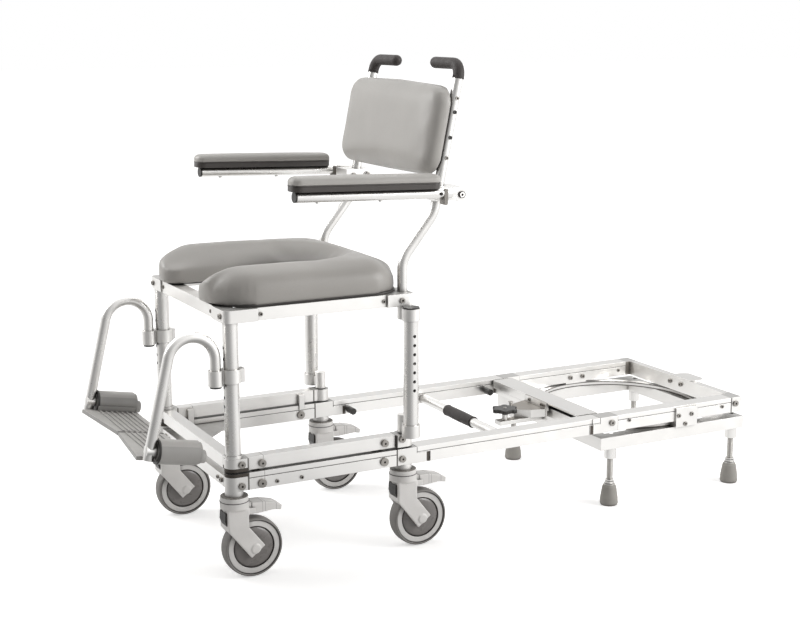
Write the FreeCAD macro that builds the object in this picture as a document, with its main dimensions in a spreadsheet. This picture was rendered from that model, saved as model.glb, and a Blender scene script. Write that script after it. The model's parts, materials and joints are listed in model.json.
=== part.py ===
import FreeCAD, Part
import math
import os
import re
import Sketcher

# A rolling shower chair whose seat unit slides on rails, over a removable bridge, to a
# turntable unit that stands in the bath. Lengths are millimetres and angles degrees.
# +X runs from the chair's front to the bath, +Y to the far side and +Z up. The origin is on
# the floor under the middle of the whole object.

SIZES = [
    # places and the frame of the chair base
    ("front_x", -571.65), ("post_pitch", 388.0), ("post_gap", 423.5),
    ("rail_bottom", 190.0), ("rail_height", 36.0), ("rail_width", 38.0), ("rail_wall", 3.0),
    ("line_rise", 24.0), ("line_width", 1.6), ("line_depth", 1.2),
    ("front_seam", 25.5), ("rear_seam", 24.0), ("lap_offset", 24.0), ("lap_length", 32.0),
    ("lap_rise", 22.0), ("lap_gap", 1.2), ("notch_width", 8.0), ("notch_depth", 2.0),
    ("cross_width", 26.0), ("cross_height", 24.0),
    ("cross_arm", 25.5), ("gusset_leg", 155.0), ("gusset_thick", 4.0),
    ("socket_drop", 12.0), ("socket_depth", 12.0),
    # bridge
    ("bridge_clear", 419.0), ("tie_offset", 215.0), ("tie_height", 202.0), ("tie_radius", 11.0),
    ("grip_radius", 13.8), ("grip_near", 52.0), ("grip_far", 70.0),
    ("pin_inset", 6.5), ("pin_inset_rear", 28.0), ("pin_height", 203.0), ("latch_collar", 9.0),
    ("latch_radius", 8.0), ("latch_length", 24.0), ("latch_travel", 8.0), ("latch_stem", 4.0),
    # bath unit
    ("tub_lap", 30.0), ("tub_block", 49.0), ("tub_rail_length", 336.0), ("tub_corner", 33.0),
    ("end_beam", 19.0), ("beam_back", 22.0), ("beam_front", 4.0), ("plate_thick", 4.0),
    ("beam_clear", 7.0), ("flange_drop", 20.0), ("flange_end", 61.0),
    ("tab_length", 29.0), ("tab_half", 40.0), ("tab_shift", 22.0), ("tab_thick", 2.5),
    ("ring_over", 2.25), ("ring_band", 17.0), ("ring_height", 11.0), ("ring_back", 201.0),
    ("turn_gap", 0.3), ("block_half", 31.5), ("block_plate", 5.0), ("block_top", 222.0),
    ("block_shift", 30.0), ("far_block_shift", 8.0), ("end_pad", 24.0), ("ring_drop", 4.0),
    ("bar_drop", 34.0), ("bar_thick", 9.4), ("bar_half", 12.5), ("bar_past", 20.0),
    ("bracket_width", 94.0), ("knob_offset", 104.0), ("knob_inset", 36.0),
    ("knob_radius", 27.0), ("lobe_radius", 8.0), ("knob_low", 212.0), ("knob_height", 9.0),
    ("stud_radius", 4.0), ("stud_rise", 1.5), ("stud_collar", 7.0),
    ("shelf_drop", 15.0), ("shelf_length", 72.0), ("shelf_near", 27.0), ("shelf_far", 9.0),
    ("shelf_taper", 32.0), ("shelf_spread", 24.0),
    ("post_x", 62.0), ("post_y", 6.0), ("post_top", 221.0), ("post_head", 6.0),
    # turning foot frame and its feet
    ("foot_rail_width", 32.0), ("foot_rail_height", 29.0), ("foot_frame_in", 2.0),
    ("foot_inset_x", 50.0), ("far_inset_x", 42.0), ("foot_back_inset", 10.0),
    ("foot_inset_y", 15.0), ("far_inset_y", -3.0), ("sleeve_radius", 14.0),
    ("sleeve_drop", 31.0), ("rod_radius", 6.9), ("rod_clear", 0.1), ("rod_short", 6.0),
    ("nut_radius", 11.0), ("nut_height", 8.0), ("pad_top_radius", 15.5),
    ("pad_radius", 21.5), ("pad_height", 50.0), ("pad_round", 5.0),
    # casters
    ("wheel_radius", 63.5), ("tyre_width", 32.0), ("tyre_bore", 56.5), ("hub_radius", 43.0),
    ("hub_half", 15.0), ("hub_boss", 14.0), ("dish_depth", 6.0), ("dish_rim", 4.0),
    ("dish_floor", 21.0), ("rim_half", 13.0), ("wheel_trail", 36.0), ("fork_half", 24.5),
    ("fork_plate", 7.0), ("arm_half", 19.0), ("arm_end", 9.0), ("stem_half", 22.5),
    ("stem_radius", 24.5), ("head_radius", 30.0), ("head_low", 151.5), ("head_high", 167.0),
    ("washer_radius", 29.0), ("swivel_gap", 0.3), ("swivel_pin", 6.0), ("fit_gap", 0.05),
    ("tyre_clear", 2.5), ("axle_radius", 4.0), ("axle_cap", 10.0), ("axle_cap_thick", 2.5),
    ("pedal_half", 17.0), ("pedal_start", 31.5), ("pedal_reach", 98.0), ("pedal_pin_x", 33.0),
    ("pedal_pin_z", 143.0), ("pedal_pin", 2.5), ("ear_thick", 4.5), ("pedal_top", 161.0),
    ("pedal_root", 136.0), ("pedal_gap", 3.0), ("slant_height", 110.0),
    # carriage
    ("slide_gap", 0.3), ("roller_radius", 10.0), ("roller_half", 8.0), ("channel_rise", 4.0),
    ("channel_width", 25.4), ("channel_height", 27.0), ("channel_wall", 3.0),
    ("carriage_seam", 26.0), ("carriage_rear_seam", 24.0), ("casting_radius", 19.0),
    ("roller_front", 57.0), ("roller_back", 51.0), ("hook_shift", 8.0),
    ("hook_width", 13.0), ("hook_thick", 3.0), ("hook_gap", 0.4), ("hook_low", 216.2),
    ("hook_high", 252.0), ("collar_radius", 18.0), ("collar_height", 6.0),
    ("leg_radius", 16.0), ("leg_wall", 3.0), ("rear_leg_out", 42.0), ("rear_leg_back", -3.0),
    ("leg_hole", 3.5), ("leg_seat", 20.0), ("hole_pitch", 19.4), ("hole_drop", 174.0),
    ("boss_outer", 19.5), ("boss_inner", 12.0), ("boss_low", 259.0), ("boss_height", 27.0),
    ("boss_stub", 39.0), ("upper_boss_drop", 25.4), ("upper_boss_height", 25.0),
    ("web_half", 8.0), ("cap_height", 3.0),
    # seat
    ("seat_top", 562.6), ("seat_rail_height", 26.2), ("seat_rail_width", 25.4),
    ("seat_front_seam", 53.0), ("seat_rear_seam", 45.0), ("cushion_front", 29.0),
    ("cushion_side", 8.0), ("cushion_back", 6.0), ("cushion_height", 75.0),
    ("cushion_round", 24.0), ("cushion_corner", 86.0), ("opening_half", 76.0),
    ("opening_length", 322.0),
    # back
    ("cane_radius", 11.0), ("cane_inset", 14.0), ("cane_foot", 6.0),
    ("cane_bend", 67.4), ("cane_slant", 39.0), ("cane_mid_x", 469.0),
    ("cane_lean", 11.4), ("cane_rise", 440.4), ("cane_arc", 60.0),
    ("grip_outer", 12.4), ("grip_arc", 29.0), ("grip_reach", 119.0), ("grip_rise", 470.4),
    ("back_low", 234.4), ("back_high", 427.4), ("back_thick", 46.0), ("back_gap", 0.4),
    ("back_side", 3.0), ("back_corner", 40.0), ("back_round", 14.0),
    # arms
    ("pivot_x", 498.0), ("pivot_rise", 205.4), ("pivot_radius", 4.0), ("arm_tilt", 1.75),
    ("arm_out", 56.0), ("pad_front", 107.0), ("pad_back", 439.0), ("arm_pad_half", 25.0),
    ("band_rise", 15.5), ("band_height", 12.5), ("vinyl_height", 18.5), ("tube_back", 470.0),
    ("tube_front", 121.0), ("tube_stop", 4.0), ("under_screw", 4.0), ("under_head", 2.5),
    ("knuckle_out", 52.0), ("knuckle_in", 28.0), ("knuckle_radius", 15.0),
    ("knuckle_start", 460.0), ("bracket_out", 27.5), ("bracket_in", 30.0),
    ("bracket_front", 448.0), ("bracket_back", 513.0), ("bracket_half", 14.0),
    # footrests
    ("swing_x", 33.0), ("clamp_low", 414.0), ("clamp_height", 28.0), ("clamp_radius", 20.5),
    ("lug_out", 26.0), ("socket_radius", 15.0), ("socket_low", 410.0), ("socket_height", 32.0),
    ("plug_height", 4.0), ("stub_low", 414.0), ("hook_level", 465.0), ("hook_arc", 49.0),
    ("hanger_tilt", 13.5), ("hanger_end", 277.0), ("tread_x", 173.0), ("tread_z", 295.0),
    ("tread_tilt", 10.0), ("housing_radius", 25.0), ("housing_start", 12.6),
    ("housing_length", 84.0), ("hinge_radius", 8.0), ("hinge_gap", 0.06), ("tread_front", 20.0),
    ("tread_back", 103.0), ("tread_drop", 15.0), ("tread_thick", 8.0), ("tread_gap", 1.35),
    ("rib_pitch", 12.0), ("rib_width", 4.0), ("rib_height", 2.0), ("end_cap", 6.0),
    ("hinge_lead", 9.0), ("hinge_length", 88.0), ("hinge_block", 20.0), ("hinge_boss", 12.0),
    ("tread_notch", 16.0), ("tread_slant", 22.0),
    # fasteners
    ("bolt_radius", 5.5), ("bolt_head", 4.0), ("screw_radius", 4.0), ("screw_head", 2.5),
    ("big_radius", 9.0), ("hex_radius", 2.6),
]

doc = FreeCAD.newDocument("transfer_bench")
sheet = doc.addObject("Spreadsheet::Sheet", "Sizes")
for row, (alias, number) in enumerate(SIZES, 1):
    sheet.set(f"A{row}", alias)
    sheet.set(f"B{row}", str(number))
    sheet.setAlias(f"B{row}", alias)
doc.recompute()
ALIASES = {alias for alias, number in SIZES}
Vector = FreeCAD.Vector
nodes = []


# Expressions -------------------------------------------------------------------------

def bind(text):
    """The expression with each alias naming its cell."""
    def cell(match):
        return "Sizes." + match.group(0) if match.group(0) in ALIASES else match.group(0)
    return re.sub(r"[A-Za-z_]\w*", cell, str(text))


def value(text):
    """The number that an expression gives."""
    result = sheet.evalExpression(bind(text))
    return float(getattr(result, "Value", result))


def outwards(side, inner, outer):
    """Y limits between two distances from the middle plane, on one side."""
    return (inner, outer) if side > 0 else (f"-({outer})", f"-({inner})")


def across(side, distance):
    """The Y of a distance from the middle plane, on one side."""
    return f"({distance})" if side > 0 else f"(-({distance}))"


# Shapes ------------------------------------------------------------------------------

def move(item, x, y, z):
    for axis, text in zip("xyz", (x, y, z)):
        item.setExpression(f".Placement.Base.{axis}", bind(text))
    return item


def spin(item, axis, angle):
    """Turn an item about an axis through its own origin by a bound angle."""
    start = FreeCAD.Rotation(Vector(*axis), 1)
    item.Placement = FreeCAD.Placement(item.Placement.Base, start)
    item.setExpression(".Placement.Rotation.Angle", bind(angle))
    return item


def box(x, y, z):
    """A block between pairs of limits."""
    item = doc.addObject("Part::Box", "Block")
    for size, limits in zip(("Length", "Width", "Height"), (x, y, z)):
        item.setExpression(size, bind(f"({limits[1]}) - ({limits[0]})"))
    return move(item, x[0], y[0], z[0])


ROD_TURNS = {"x": (Vector(0, 1, 0), 90), "y": (Vector(1, 0, 0), -90), "z": (Vector(0, 0, 1), 0)}


def rod(axis, centre, limits, radius, kind="Part::Cylinder"):
    """A bar along an axis; centre holds the other two coordinates, in their order."""
    item = doc.addObject(kind, "Bar")
    item.setExpression("Height", bind(f"({limits[1]}) - ({limits[0]})"))
    if kind == "Part::Prism":
        item.Polygon = 6
        item.setExpression("Circumradius", bind(radius))
    elif kind == "Part::Cone":
        item.setExpression("Radius1", bind(radius[0]))
        item.setExpression("Radius2", bind(radius[1]))
    else:
        item.setExpression("Radius", bind(radius))
    item.Placement = FreeCAD.Placement(Vector(), FreeCAD.Rotation(*ROD_TURNS[axis]))
    place = list(centre)
    place.insert("xyz".index(axis), limits[0])
    return move(item, *place)


def fuse(*items):
    item = doc.addObject("Part::MultiFuse", "Joined")
    item.Shapes = list(items)
    item.Refine = True
    return item


def cut(base, *tools):
    item = doc.addObject("Part::Cut", "Opened")
    item.Base = base
    item.Tool = tools[0] if len(tools) == 1 else fuse(*tools)
    item.Refine = True
    return item


def group(*items):
    item = doc.addObject("Part::Compound", "Set")
    item.Links = list(items)
    return item


def tube(axis, centre, limits, outer, inner):
    past = (f"({limits[0]}) - 1", f"({limits[1]}) + 1")
    return cut(rod(axis, centre, limits, outer), rod(axis, centre, past, inner))


def origin_plane(body, role):
    for feature in body.Origin.OriginFeatures:
        if feature.Role == role:
            return feature
    raise ValueError(role)


def outline(body, plane, loops):
    """A sketch of closed polygons whose corners are bound to the sheet."""
    sketch = body.newObject("Sketcher::SketchObject", "Outline")
    sketch.AttachmentSupport = [(origin_plane(body, plane), "")]
    sketch.MapMode = "FlatFace"
    first = 0
    for points in loops:
        spots = [Vector(value(a), value(b), 0) for a, b in points]
        count = len(points)
        for i in range(count):
            sketch.addGeometry(Part.LineSegment(spots[i], spots[(i + 1) % count]), False)
        for i in range(count):
            follower = first + (i + 1) % count
            sketch.addConstraint(Sketcher.Constraint("Coincident", first + i, 2, follower, 1))
        for i in range(count):
            for kind, text, number in zip(("DistanceX", "DistanceY"), points[i], spots[i]):
                constraint = Sketcher.Constraint(kind, first + i, 1, number)
                index = sketch.addConstraint(constraint)
                sketch.setExpression(f"Constraints[{index}]", bind(text))
        first += count
    return sketch


def extruded(plane, loops, limits):
    """A prism of polygons drawn in an origin plane, between limits along its normal."""
    body = doc.addObject("PartDesign::Body", "Section")
    sketch = outline(body, plane, loops)
    pad = body.newObject("PartDesign::Pad", "Pad")
    pad.Profile = sketch
    pad.setExpression("Length", bind(f"({limits[1]}) - ({limits[0]})"))
    place = {"YZ_Plane": (limits[0], 0, 0), "XZ_Plane": (0, limits[1], 0),
             "XY_Plane": (0, 0, limits[0])}[plane]
    return move(body, *place)


def turned(points, x, y, z):
    """A solid of revolution about a vertical axis from a half outline of (radius, height)."""
    body = doc.addObject("PartDesign::Body", "Turned")
    sketch = outline(body, "XZ_Plane", [points])
    revolution = body.newObject("PartDesign::Revolution", "Revolution")
    revolution.Profile = sketch
    revolution.ReferenceAxis = (sketch, ["V_Axis"])
    revolution.Angle = 360
    return move(body, x, y, z)


def rounded(item, radius, choose):
    """Fillet the edges of an item that a test picks."""
    doc.recompute()
    size = value(radius)
    item_edges = enumerate(item.Shape.Edges, 1)
    fillet = doc.addObject("Part::Fillet", "Rounded")
    fillet.Base = item
    fillet.Edges = [(index, size, size) for index, edge in item_edges if choose(edge)]
    return fillet


def runs_along(axis):
    """A test for straight edges along an axis."""
    def test(edge):
        ends = [vertex.Point for vertex in edge.Vertexes]
        if len(ends) < 2:
            return False
        step = (ends[1] - ends[0]).normalize()
        return abs(abs(step.dot(axis)) - 1) < 1e-6 and edge.Curve.TypeId == "Part::GeomLine"
    return test


def bent_bar(points, arcs, radius):
    """A round bar along straight runs joined by arcs, which a swept circle needs as one path."""
    edges = []
    start = points[0]
    for before, corner, after, arc in zip(points, points[1:], points[2:], arcs):
        back = (before - corner).normalize()
        ahead = (after - corner).normalize()
        half = back.getAngle(ahead) / 2
        reach = arc / math.tan(half)
        middle = (back + ahead).normalize() * (arc / math.sin(half) - arc)
        enter = corner + back * reach
        leave = corner + ahead * reach
        edges.append(Part.LineSegment(start, enter).toShape())
        edges.append(Part.Arc(enter, corner + middle, leave).toShape())
        start = leave
    edges.append(Part.LineSegment(start, points[-1]).toShape())
    ring = Part.Wire([Part.Circle(points[0], points[1] - points[0], radius).toShape()])
    return Part.Wire(edges).makePipeShell([ring], True, True)


def swept(shape):
    item = doc.addObject("Part::Feature", "Bent")
    item.Shape = shape
    return item


def keep(name, *items):
    """Name one sub-part; several separate pieces share it as a group."""
    item = items[0] if len(items) == 1 else group(*items)
    item.Label = name
    nodes.append(item)
    return item


# Shared places -----------------------------------------------------------------------

SIDES = (("near", -1), ("far", 1))
FRONT = "front_x"
REAR = "(front_x + post_pitch)"
SIDE = "(post_gap / 2)"
RAIL_HALF = "(rail_width / 2)"
RAIL_TOP = "(rail_bottom + rail_height)"
LAP_LEVEL = "(rail_bottom + lap_rise)"
BASE_RAIL = (f"{FRONT} + front_seam", f"{REAR} - rear_seam")
BASE_LAP = (f"({REAR} + lap_offset)", f"({REAR} + lap_offset + lap_length)")
TUB_FRONT = f"({BASE_LAP[1]} + bridge_clear)"
TUB_LAP = (TUB_FRONT, f"({TUB_FRONT} + tub_lap)")
TUB_RAIL = (f"({TUB_LAP[1]} + tub_block)", f"({TUB_LAP[1]} + tub_block + tub_rail_length)")
TUB_END = f"({TUB_RAIL[1]} + tub_corner)"
RING_X = f"({TUB_END} - ring_back)"
RING_OUTER = f"({SIDE} + ring_over)"
RING_TOP = "(rail_bottom - ring_drop)"
FOOT_TOP = f"({RING_TOP} - ring_height)"
DECK = f"({RAIL_TOP} + slide_gap)"
CHANNEL_LOW = f"({RAIL_TOP} + channel_rise)"
CHANNEL_TOP = f"({CHANNEL_LOW} + channel_height)"
SEAT_LOW = "(seat_top - seat_rail_height)"
ROLLERS = (f"({FRONT} + roller_front)", f"({REAR} - roller_back)")
UPPER_BOSS = f"({SEAT_LOW} - upper_boss_drop)"
PIVOT_Z = "(seat_top + pivot_rise)"
REAR_LEG_X = f"({REAR} + rear_leg_back)"
REAR_LEG_Y = f"({SIDE} + rear_leg_out)"


def rail_limits(side, inner=RAIL_HALF, outer=RAIL_HALF):
    return outwards(side, f"{SIDE} - {inner}", f"{SIDE} + {outer}")


def frame_rail(side, limits):
    """A hollow square rail with a shallow line along both faces."""
    low, high = rail_limits(side)
    groove = ("rail_bottom + line_rise", "rail_bottom + line_rise + line_width")
    outer = [(low, "rail_bottom"), (high, "rail_bottom"), (high, groove[0]),
             (f"{high} - line_depth", groove[0]), (f"{high} - line_depth", groove[1]),
             (high, groove[1]), (high, RAIL_TOP), (low, RAIL_TOP), (low, groove[1]),
             (f"{low} + line_depth", groove[1]), (f"{low} + line_depth", groove[0]),
             (low, groove[0])]
    inner = [(f"{low} + rail_wall", "rail_bottom + rail_wall"),
             (f"{high} - rail_wall", "rail_bottom + rail_wall"),
             (f"{high} - rail_wall", f"{RAIL_TOP} - rail_wall"),
             (f"{low} + rail_wall", f"{RAIL_TOP} - rail_wall")]
    return extruded("YZ_Plane", [outer, inner], limits)


def cross_tube(x, y, z, wall="rail_wall"):
    """A hollow square tube along Y."""
    inside = box((f"{x[0]} + {wall}", f"{x[1]} - {wall}"), (f"{y[0]} - 1", f"{y[1]} + 1"),
                 (f"{z[0]} + {wall}", f"{z[1]} - {wall}"))
    return cut(box(x, y, z), inside)


def inwards_arm(side, x, length, z):
    """A block from a post's axis towards the middle plane."""
    return box(x, outwards(side, f"{SIDE} - {length}", SIDE), z)


def notch(side, x, z):
    """A shallow recess in the outer face of a side rail."""
    return box(x, rail_limits(side, f"(notch_depth - {RAIL_HALF})", f"({RAIL_HALF} + 1)"), z)


# The chair base ----------------------------------------------------------------------

def base_casting(side, x, front, rear, tongue):
    """A corner block with a caster socket; only the front ones have a cross member's arm."""
    y = across(side, SIDE)
    full = ("rail_bottom", RAIL_TOP)
    arm_x = (f"{x} - cross_width / 2", f"{x} + cross_width / 2")
    cross_z = ("rail_bottom", "rail_bottom + cross_height")
    parts = [rod("z", (x, y), full, RAIL_HALF), box((front, rear), rail_limits(side), full),
             rod("z", (x, y), ("rail_bottom - socket_drop", "rail_bottom"), RAIL_HALF)]
    if tongue:
        lap = box((rear, tongue), rail_limits(side), ("rail_bottom", LAP_LEVEL))
        parts.append(cut(lap, notch(side, (f"{tongue} - notch_width", f"{tongue} + 1"),
                                    ("rail_bottom + line_width", f"{LAP_LEVEL} + 1"))))
    else:
        parts.append(inwards_arm(side, arm_x, "cross_arm", cross_z))
    bore = ("rail_bottom - socket_drop - 1", "rail_bottom - socket_drop + socket_depth")
    return cut(fuse(*parts), rod("z", (x, y), bore, "swivel_pin + fit_gap"))


def tub_front_casting(side):
    tongue = box(TUB_LAP, rail_limits(side), ("rail_bottom", LAP_LEVEL))
    block = box((TUB_LAP[1], TUB_RAIL[0]), rail_limits(side), ("rail_bottom", RAIL_TOP))
    return fuse(tongue, block)


def tub_rear_casting(side):
    block = box((TUB_RAIL[1], TUB_END), rail_limits(side), ("rail_bottom", RAIL_TOP))
    arm = inwards_arm(side, (f"{TUB_END} - end_beam", TUB_END), "cross_arm",
                      ("rail_bottom", RAIL_TOP))
    return fuse(block, arm)


def gusset(side):
    """A flat triangle that stiffens a front corner of the base."""
    corner_x = f"({FRONT} + cross_width / 2)"
    wall = f"({SIDE} - {RAIL_HALF})"
    points = [(corner_x, across(side, wall)), (f"{corner_x} + gusset_leg", across(side, wall)),
              (corner_x, across(side, f"{wall} - gusset_leg"))]
    top = "rail_bottom + cross_height"
    return extruded("XY_Plane", [points], (f"{top} - gusset_thick", top))


keep("base_rails", *[frame_rail(side, BASE_RAIL) for word, side in SIDES])

castings = []
for word, side in SIDES:
    castings.append(base_casting(side, FRONT, FRONT, BASE_RAIL[0], None))
    castings.append(base_casting(side, REAR, BASE_RAIL[1], BASE_LAP[0], BASE_LAP[1]))
    castings.append(tub_front_casting(side))
    castings.append(tub_rear_casting(side))
keep("frame_corners", *castings)

cross_ends = (f"-({SIDE} - cross_arm)", f"({SIDE} - cross_arm)")
cross_heights = ("rail_bottom", "(rail_bottom + cross_height)")
front_cross = (f"({FRONT} - cross_width / 2)", f"({FRONT} + cross_width / 2)")
keep("base_cross_rails", cross_tube(front_cross, cross_ends, cross_heights),
     *[gusset(side) for word, side in SIDES])


# The bath unit -----------------------------------------------------------------------

keep("tub_rails", *[frame_rail(side, TUB_RAIL) for word, side in SIDES])

beam_x = (f"({TUB_LAP[0]} - beam_front)", f"({TUB_LAP[1]} + beam_back)")
beam_wide = (f"-({SIDE} - {RAIL_HALF} - beam_clear)", f"({SIDE} - {RAIL_HALF} - beam_clear)")
beam_full = (f"-({SIDE} - {RAIL_HALF})", f"({SIDE} - {RAIL_HALF})")
front_beam = fuse(
    box(beam_x, beam_wide, (f"{RAIL_TOP} - plate_thick", RAIL_TOP)),
    box((beam_x[0], f"{beam_x[0]} + plate_thick"), ("-flange_end", beam_wide[1]),
        (f"{RAIL_TOP} - flange_drop", RAIL_TOP)),
    box((f"{beam_x[1]} - plate_thick", beam_x[1]), beam_wide, ("rail_bottom", RAIL_TOP)),
    box((f"{beam_x[0]} + 2 * plate_thick", beam_x[1]), beam_full,
        ("rail_bottom", f"{LAP_LEVEL} - lap_gap")))
rear_beam = cross_tube((f"({TUB_END} - end_beam)", TUB_END), cross_ends,
                       ("rail_bottom", RAIL_TOP))
tab_y = ("-2 * tab_half - tab_shift", "2 * tab_half - tab_shift")
tab_z = (f"{RAIL_TOP} - 1", f"{RAIL_TOP} + 2 * tab_thick")
tab = cut(rod("z", (TUB_END, "-tab_shift"), (RAIL_TOP, f"{RAIL_TOP} + tab_thick"), "tab_half"),
          box((f"{TUB_END} - 2 * tab_half", f"{TUB_END} - end_beam"), tab_y, tab_z),
          box((f"{TUB_END} + tab_length", f"{TUB_END} + 2 * tab_half"), tab_y, tab_z))
keep("tub_cross_rails", front_beam, fuse(rear_beam, tab))


def side_block(side, x):
    """A guide for the ring under a side rail: outer plate, lip beside the ring, pad above."""
    along = (f"{x} - block_half", f"{x} + block_half")
    low = f"({FOOT_TOP} + turn_gap)"
    plate = box(along, rail_limits(side, f"-{RAIL_HALF}", f"({RAIL_HALF} + block_plate)"),
                (low, "block_top"))
    lip = box(along, outwards(side, f"{RING_OUTER} + turn_gap",
                              f"{SIDE} + {RAIL_HALF}"), (low, "rail_bottom"))
    cover = box(along, rail_limits(side), (f"{RING_TOP} + turn_gap", "rail_bottom"))
    return fuse(plate, lip, cover)


def end_block(sign):
    """A guide pad under an end beam."""
    x = f"({RING_X} + ({sign}) * {RING_OUTER})"
    inner = f"({x} - ({sign}) * end_pad)"
    along = (inner, x) if sign > 0 else (x, inner)
    return box(along, ("-block_half", "block_half"), (f"{RING_TOP} + turn_gap", "rail_bottom"))


BLOCK_X = {"near": f"({RING_X} + block_shift)", "far": f"({RING_X} + far_block_shift)"}
side_blocks = [side_block(side, BLOCK_X[word]) for word, side in SIDES]
keep("turntable_blocks", *side_blocks, end_block(-1), end_block(1))

# The bracket with its clamp knob reaches from the front beam towards the bridge.
KNOB_X = f"({beam_x[0]} - knob_offset)"
KNOB_Y = "(-knob_inset)"
bracket_y = ("-flange_end", "(bracket_width - flange_end)")
BAR_LOW = f"({RAIL_TOP} - bar_drop - bar_thick)"
BAR_TOP = f"({RAIL_TOP} - bar_drop)"
shelf_x = f"({beam_x[0]} - shelf_length)"
shelf_near = f"({KNOB_Y} + shelf_far)"
shelf = extruded("XY_Plane", [[(beam_x[0], f"({shelf_near} - shelf_spread) - shelf_far"),
                               (beam_x[0], "shelf_near + shelf_far"), (shelf_x, "shelf_far"),
                               (shelf_x, shelf_near),
                               (f"{shelf_x} + shelf_taper", f"({shelf_near} - shelf_spread)")]],
                 (BAR_TOP, f"{RAIL_TOP} - shelf_drop"))
post = (f"({beam_x[0]} - post_x)", "post_y")
latch_bracket = fuse(
    box((f"{beam_x[0]} - plate_thick", beam_x[0]), bracket_y, (BAR_LOW, RAIL_TOP)),
    box((f"{KNOB_X} - bar_past", beam_x[0]), (f"{KNOB_Y} - bar_half", f"{KNOB_Y} + bar_half"),
        (BAR_LOW, BAR_TOP)),
    shelf,
    rod("z", (KNOB_X, KNOB_Y), (BAR_TOP, "knob_low - turn_gap"), "stud_collar"),
    rod("z", (KNOB_X, KNOB_Y), (BAR_LOW, "knob_low + knob_height + stud_rise"), "stud_radius"),
    rod("z", post, (BAR_TOP, "post_top"), "stud_radius"),
    rod("z", post, ("post_top - 3", "post_top"), "post_head"))
keep("latch_bracket", latch_bracket)

lobes = []
for step in range(6):
    lobe_x = f"{KNOB_X} + (knob_radius - 3) * cos({60 * step})"
    lobe_y = f"{KNOB_Y} + (knob_radius - 3) * sin({60 * step})"
    lobes.append(rod("z", (lobe_x, lobe_y), ("knob_low", "knob_low + knob_height"),
                     "lobe_radius"))
knob_limits = ("knob_low", "knob_low + knob_height")
knob_core = rod("z", (KNOB_X, KNOB_Y), knob_limits, "knob_radius - 2")
knob_bore = rod("z", (KNOB_X, KNOB_Y), ("knob_low - 1", "knob_low + knob_height + 1"),
                "stud_radius + fit_gap")
keep("star_knob", cut(fuse(knob_core, *lobes), knob_bore))


# The turning foot frame --------------------------------------------------------------

ring_height = (FOOT_TOP, RING_TOP)
keep("turntable_ring", tube("z", (RING_X, "0"), ring_height, RING_OUTER,
                            f"({RING_OUTER} - ring_band)"))

FOOT_LOW = f"({FOOT_TOP} - foot_rail_height)"
foot_z = (FOOT_LOW, FOOT_TOP)
FOOT_HALF_X = f"({RING_OUTER} - foot_frame_in)"
FOOT_SIDE = f"({SIDE} + foot_rail_width / 2)"
outer_frame = box((f"{RING_X} - {FOOT_HALF_X}", f"{RING_X} + {FOOT_HALF_X}"),
                  (f"-{FOOT_SIDE}", FOOT_SIDE), foot_z)
inner_frame = box((f"{RING_X} - {FOOT_HALF_X} + foot_rail_width",
                   f"{RING_X} + {FOOT_HALF_X} - foot_rail_width"),
                  (f"-({FOOT_SIDE} - foot_rail_width)", f"{FOOT_SIDE} - foot_rail_width"),
                  (f"{FOOT_LOW} - 1", f"{FOOT_TOP} + 1"))
FEET = []
for word, side in SIDES:
    inset_x = "far_inset_x" if side > 0 else "foot_inset_x"
    inset_y = "far_inset_y" if side > 0 else "foot_inset_y"
    FEET.append((f"{word}_front", f"({RING_X} - {FOOT_HALF_X} + {inset_x})",
                 across(side, f"{SIDE} - ({inset_y})")))
    FEET.append((f"{word}_rear", f"({RING_X} + {FOOT_HALF_X} - foot_back_inset)",
                 across(side, f"{SIDE} - foot_inset_y")))
rod_bores = [rod("z", (x, y), (f"{FOOT_LOW} - 1", f"{FOOT_TOP} + 1"), "rod_radius + rod_clear")
             for name, x, y in FEET]
keep("foot_frame", cut(outer_frame, inner_frame, *rod_bores))

sleeve_z = (f"{FOOT_LOW} - sleeve_drop", FOOT_LOW)
keep("foot_sleeves", *[tube("z", (x, y), sleeve_z, "sleeve_radius", "rod_radius + rod_clear")
                       for name, x, y in FEET])


def foot(name, x, y):
    """A rubber pad on a threaded rod with its lock nut."""
    pad = turned([("0", "0"), ("pad_radius - 2", "0"), ("pad_radius", "pad_round"),
                  ("pad_radius - 1", "pad_round + 14"), ("pad_top_radius + 1", "pad_height - 6"),
                  ("pad_top_radius - 2", "pad_height"), ("0", "pad_height")], x, y, "0")
    shaft = rod("z", (x, y), ("pad_height - 5", f"{FOOT_LOW} - rod_short"), "rod_radius")
    nut = rod("z", (x, y), ("pad_height + 4", "pad_height + 4 + nut_height"), "nut_radius",
              "Part::Prism")
    collar = rod("z", (x, y), ("pad_height", "pad_height + 4"), "nut_radius + 1")
    keep(f"foot_{name}", fuse(pad, collar, shaft, nut))


for name, x, y in FEET:
    foot(name, x, y)


# The bridge --------------------------------------------------------------------------

def bridge_rail(side):
    """A rail with a half lap at each end, which rests on the frames' lower laps."""
    main = frame_rail(side, (f"{BASE_LAP[1]} + lap_gap", f"{TUB_LAP[0]} - lap_gap"))
    upper = (f"{LAP_LEVEL} + slide_gap", RAIL_TOP)
    laps = [box((f"{BASE_LAP[0]} + lap_gap", f"{BASE_LAP[1]} + lap_gap"), rail_limits(side),
                upper),
            box((f"{TUB_LAP[0]} - lap_gap", f"{TUB_LAP[1]} - lap_gap"), rail_limits(side),
                upper)]
    recess = notch(side, (f"{TUB_LAP[0]} - lap_gap", f"{TUB_LAP[0]} + notch_width"),
                   (LAP_LEVEL, f"{RAIL_TOP} + 1"))
    return cut(fuse(main, *laps), recess)


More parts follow.
